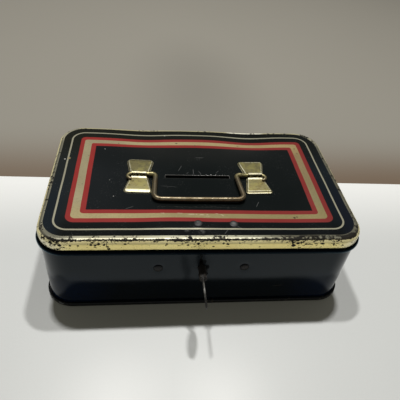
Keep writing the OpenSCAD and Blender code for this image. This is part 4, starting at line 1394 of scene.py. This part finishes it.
class MONEYBOX_OT_handle(bpy.types.Operator):
    """Makes the bent wire handle with its curled ends"""

    bl_idname = "money_box.handle"
    bl_label = "Handle"

    def execute(self, context):
        right = self.half()
        both = [(-x, y, r) for x, y, r in right[:0:-1]] + right
        path = []
        for x, y, _ in both:
            wobble = 0.12 * noise.noise(Vector((x / 14, y / 14, 2.0)))
            path.append((HANDLE_X + x + 0.5 * wobble + self.lean(x, y),
                         y + (wobble if y < -3 else 0), PIVOT_Z))
        points, faces = tube(path, [r for _, _, r in both], 24)
        tints = colours()
        material = aged_brass("handle brass", tints.wire, 0.8, 150.0, 0.30,
                              bright=scaled(tints.brass, 1.1))
        piece("handle_grip", "handle", points, faces, [material],
              replaces=["handle_wire"])
        return {"FINISHED"}

    def lean(self, x, y):
        """How far the hand-bent wire stands to the right of its even shape."""
        if abs(x) > 36:
            return 0.7 if x > 0 else 0.0
        return -0.8 * (1 - min(1.0, y / GRIP_Y)) if x > 0 else -0.3

    def turn(self, cx, cy, radius, start, end):
        """Points inside an arc of the wire, angles in degrees."""
        steps = (math.radians(start + (end - start) * i / 12) for i in range(1, 12))
        return [(cx + radius * math.cos(a), cy + radius * math.sin(a)) for a in steps]

    def half(self):
        """Half of the wire's path from the middle of its bar, as (x, y, radius)."""
        grip, pin = 1.42, 1.08
        bend, root, hook = 3.8, 2.6, 2.35
        leg_front, leg_back = LEG_X + 0.4, LEG_X - 0.5
        front, back = GRIP_Y + bend, -root

        bar = [(2.2 * i, GRIP_Y - 0.25 * math.cos(1.5 * 2.2 * i / LEG_X)) for i in range(11)]
        bar += self.turn(leg_front - bend, GRIP_Y + bend, bend, -90, 0)
        bar += [(leg_front + (leg_back - leg_front) * i / 6, front + (back - front) * i / 6)
                for i in range(7)]
        bar += self.turn(leg_back + root, -root, root, 180, 90)
        wire = []
        for x, y in bar:
            leg = clamped((x - leg_front + bend) / bend) * min(1.0, -y / 6)
            knock = 1 + 0.03 * noise.noise(Vector((x / 5, y / 5, 1.0)))
            wire.append((x, y, (grip + 0.16 * max(0.0, leg)) * knock))

        wire += [(leg_back + root + d, 0.0, r)
                 for d, r in ((0, grip), (0.8, grip - 0.15), (1.6, pin + 0.05))]
        wire += [(x, 0.0, pin) for x in (34.0, 37.0, HOOK_X)]
        curl = (self.turn(HOOK_X, -hook, hook, 90, -60)
                + self.turn(HOOK_X, -hook, hook, -60, -88))
        wire += [(x, y, pin * (1 - 0.5 * max(0.0, i / 22 - 0.35))) for i, (x, y) in enumerate(curl)]
        x, y, last = wire[-1]
        return wire + [(x - 0.2, y, last * 0.8), (x - 0.27, y, last * 0.45)]


class MONEYBOX_OT_body(bpy.types.Operator):
    """Makes the lacquered body with its rim bead and neck, and finishes the base and hinge wire"""

    bl_idname = "money_box.body"
    bl_label = "Body"

    def execute(self, context):
        outside, inside = self.outside(), self.inside()
        rings = [wall_ring(out, z) for out, z in outside + inside]
        points, faces = loft(rings)
        points = [self.bent(p) for p in points]
        count = len(rings[0])
        choice = [1 if i // count >= len(outside) else 0 for i in range(len(faces))]
        body = piece("body_tin", "body", points, faces,
                     [body_lacquer(), tinplate("body inside")], choice=choice,
                     replaces=["body_shell"])
        cut(body, [*self.tongue_cuts(), self.keyhole()], 40.0)
        wire_steel = plain_steel("hinge wire steel", scaled(colours().steel, 0.6), 0.5, 0.35)
        paint_nodes(seam_lacquer(), "navy_lacquer", "base_panel")
        paint_nodes(wire_steel, "steel", "hinge_wire")
        return {"FINISHED"}

    def outside(self):
        """The body's outer section, as (out, z), up its wall, over the bead and up the neck."""
        low, bead_top = TIN + 0.05, BEAD_Z + BEAD_R
        section = [(-0.06, low), (0.0, low + 0.1)]
        section += [(0.0, low + 0.1 + (44.9 - low) * i / 40) for i in range(1, 41)]
        squeeze = (bead_top - WALL_TOP) / (2 * BEAD_R)
        section += [(out, bead_top - (bead_top - z) * squeeze)
                    for out, z in arc(BEAD_X, BEAD_Z, BEAD_R, -100, 90, 20)]
        return section + [
            (0.0, bead_top), (NECK_OUT, bead_top + 0.08), (NECK_OUT, 50.0),
            (NECK_OUT, NECK_TOP - 0.3), (NECK_OUT - 0.12, NECK_TOP - 0.06),
            (NECK_OUT - TIN, NECK_TOP), (NECK_OUT - 2 * TIN + 0.12, NECK_TOP - 0.06)]

    def inside(self):
        """The body's inner section: the neck's folded hem, the hollow bead and the wall."""
        low = TIN + 0.05
        section = [
            (NECK_OUT - 2 * TIN, NECK_TOP - 0.3), (NECK_OUT - 2 * TIN, NECK_TOP - HEM_H + 0.1),
            (NECK_OUT - TIN - 0.05, NECK_TOP - HEM_H), (NECK_OUT - TIN, NECK_TOP - HEM_H - 0.1),
            (NECK_OUT - TIN, BEAD_Z + BEAD_R - TIN)]
        section += arc(BEAD_X, BEAD_Z, BEAD_R - TIN, 90, -90, 10)
        section += [(-TIN, z) for z in (BEAD_Z - BEAD_R + TIN, 44.0, 33.0, 22.0, 11.0, low + 0.1)]
        return section + [(-TIN + 0.1, low)]

    def bent(self, point):
        """A point of the body, with the slight hollows that hand-worked tin has."""
        x, y, z = point
        if z > WALL_TOP:
            return point
        share = math.sin(math.pi * clamped(z / WALL_TOP))
        if abs(x) < HALF_L - CORNER:
            y += 0.16 * noise.noise(Vector((x / 30, z / 30, 5.0 if y < 0 else 9.0))) * share
            if y < 0:
                for side in (-1, 1):
                    at = (LOCK_X + side * LOCK_RIVETS, LOCK_Z)
                    y += 0.28 * hill(x, z, at, (2.1, 2.1))
        elif abs(y) < HALF_D - CORNER:
            x += 0.16 * noise.noise(Vector((y / 30, z / 30, 13.0 if x < 0 else 17.0))) * share
        return x, y, z

    def tongue_cuts(self):
        """The cutters of the two openings in the rear bead for the hinge tongues."""
        radius, half = 1.41, TONGUE_HALF + 0.4
        opening = lathe([(0.02, -half), (radius, -half), (radius, half), (0.02, half)], 24)
        to_x = Matrix.Rotation(math.pi / 2, 4, "Y")
        return [moved(opening, Matrix.Translation((x, HINGE_Y, BEAD_Z)) @ to_x)
                for x in (-HINGE_X, HINGE_X)]

    def keyhole(self):
        """The cutter of the ragged keyhole, leaned like the key."""
        round_hole, slot_end, slot_half = 2.5, 7.7, 0.95
        shape = []
        for a in circle(64):
            reach = round_hole
            if abs(math.sin((a - math.pi / 2) / 2)) < 0.19:
                reach = min(slot_end, slot_half / max(1e-6, abs(math.cos(a))))
            reach *= 1 + 0.07 * noise.noise(Vector((math.cos(a) * 3, math.sin(a) * 3, 1.0)))
            shape.append((reach * math.cos(a), reach * math.sin(a)))
        cutter = capped([[(x, y, z) for x, z in shape] for y in (2.0, -2.0)])
        return moved(cutter, lock_place(TIN / 2 - HALF_D))


class MONEYBOX_OT_lock(bpy.types.Operator):
    """Makes the lock's rivet heads in the front and finishes the lock inside"""

    bl_idname = "money_box.lock"
    bl_label = "Lock"

    def execute(self, context):
        steel = colours().steel
        rivet = lathe([(0.05, -1.9), (1.6, -1.85), (1.8, -1.5), (1.8, -1.1), (1.25, -1.0),
                       (1.25, 0.0), (RIVET_R, 0.02), (RIVET_R, 0.12), (2.4, 0.30), (1.9, 0.50),
                       (1.1, 0.64), (0.05, 0.69)])
        to_front = Matrix.Rotation(math.pi / 2, 4, "X")
        places = [Matrix.Translation((LOCK_X + side * LOCK_RIVETS, -HALF_D, LOCK_Z))
                  for side in (-1, 1)]
        points, faces = joined(*(moved(rivet, place @ to_front) for place in places))
        piece("front_rivets", "body", points, faces, [front_rivet_lacquer()],
              replaces=["lock_rivets"])
        paint_nodes(plain_steel("lock sheet", scaled(steel, 0.8), 0.35, 0.34), "steel",
                    "lock_case")
        paint_nodes(plain_steel("lock steel", steel, 0.2, 0.26), "steel",
                    "bolt", "bolt_spring", "spring_rivet", "guide_stud", "drill_pin")
        return {"FINISHED"}


class MONEYBOX_OT_key(bpy.types.Operator):
    """Makes the key that stands in the lock, with its thin bow"""

    bl_idname = "money_box.key"
    bl_label = "Key"

    def execute(self, context):
        paint_nodes(key_iron(), "dark_steel", "key_barrel")
        half = [(BOW_HOLE_R, -0.35), (BOW_HOLE_R + 0.15, -0.50), (BOW_R - 0.6, -0.52),
                (BOW_R - 0.15, -0.38), (BOW_R, 0.0)]
        section = half + [(r, -along) for r, along in half[-2::-1]]
        rings = [[(along, BOW_Y + r * math.cos(a), r * math.sin(a)) for a in circle(64)]
                 for r, along in section]
        tang = block((-0.5, BOW_Y + BOW_R - 2.0, -1.6), (0.5, TANG_Y, 1.6), 0.15)
        points, faces = moved(joined(loft(rings), tang), lock_place(0))
        piece("key_disc", "key", points, faces, [key_steel()], replaces=["key_bow"])
        return {"FINISHED"}


class MONEYBOX_PT_build(bpy.types.Panel):
    """Lists the steps that build the money box, and its sizes and colours"""

    bl_label = "Money box"
    bl_idname = "MONEYBOX_PT_build"
    bl_space_type = "VIEW_3D"
    bl_region_type = "UI"
    bl_category = "Money box"

    def draw(self, context):
        for step in STEPS:
            self.layout.operator(step.bl_idname)
        for group in (context.scene.money_box_sizes, context.scene.money_box_colours):
            box = self.layout.box()
            for key in group.__annotations__:
                box.prop(group, key)


STEPS = (MONEYBOX_OT_stage, MONEYBOX_OT_body, MONEYBOX_OT_lid, MONEYBOX_OT_lid_fittings,
         MONEYBOX_OT_clips, MONEYBOX_OT_handle, MONEYBOX_OT_lock, MONEYBOX_OT_key)
GROUPS = (MoneyBoxSizes, MoneyBoxColours)


def register():
    for group in GROUPS:
        bpy.utils.register_class(group)
    bpy.types.Scene.money_box_sizes = bpy.props.PointerProperty(type=MoneyBoxSizes)
    bpy.types.Scene.money_box_colours = bpy.props.PointerProperty(type=MoneyBoxColours)
    for kind in (*STEPS, MONEYBOX_PT_build):
        bpy.utils.register_class(kind)


def unregister():
    for kind in (MONEYBOX_PT_build, *reversed(STEPS), *reversed(GROUPS)):
        bpy.utils.unregister_class(kind)
    del bpy.types.Scene.money_box_sizes
    del bpy.types.Scene.money_box_colours


def main():
    """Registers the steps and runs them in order."""
    register()
    bpy.ops.money_box.stage()
    bpy.ops.money_box.body()
    bpy.ops.money_box.lid()
    bpy.ops.money_box.lid_fittings()
    bpy.ops.money_box.clips()
    bpy.ops.money_box.handle()
    bpy.ops.money_box.lock()
    bpy.ops.money_box.key()


if __name__ == "__main__":
    main()
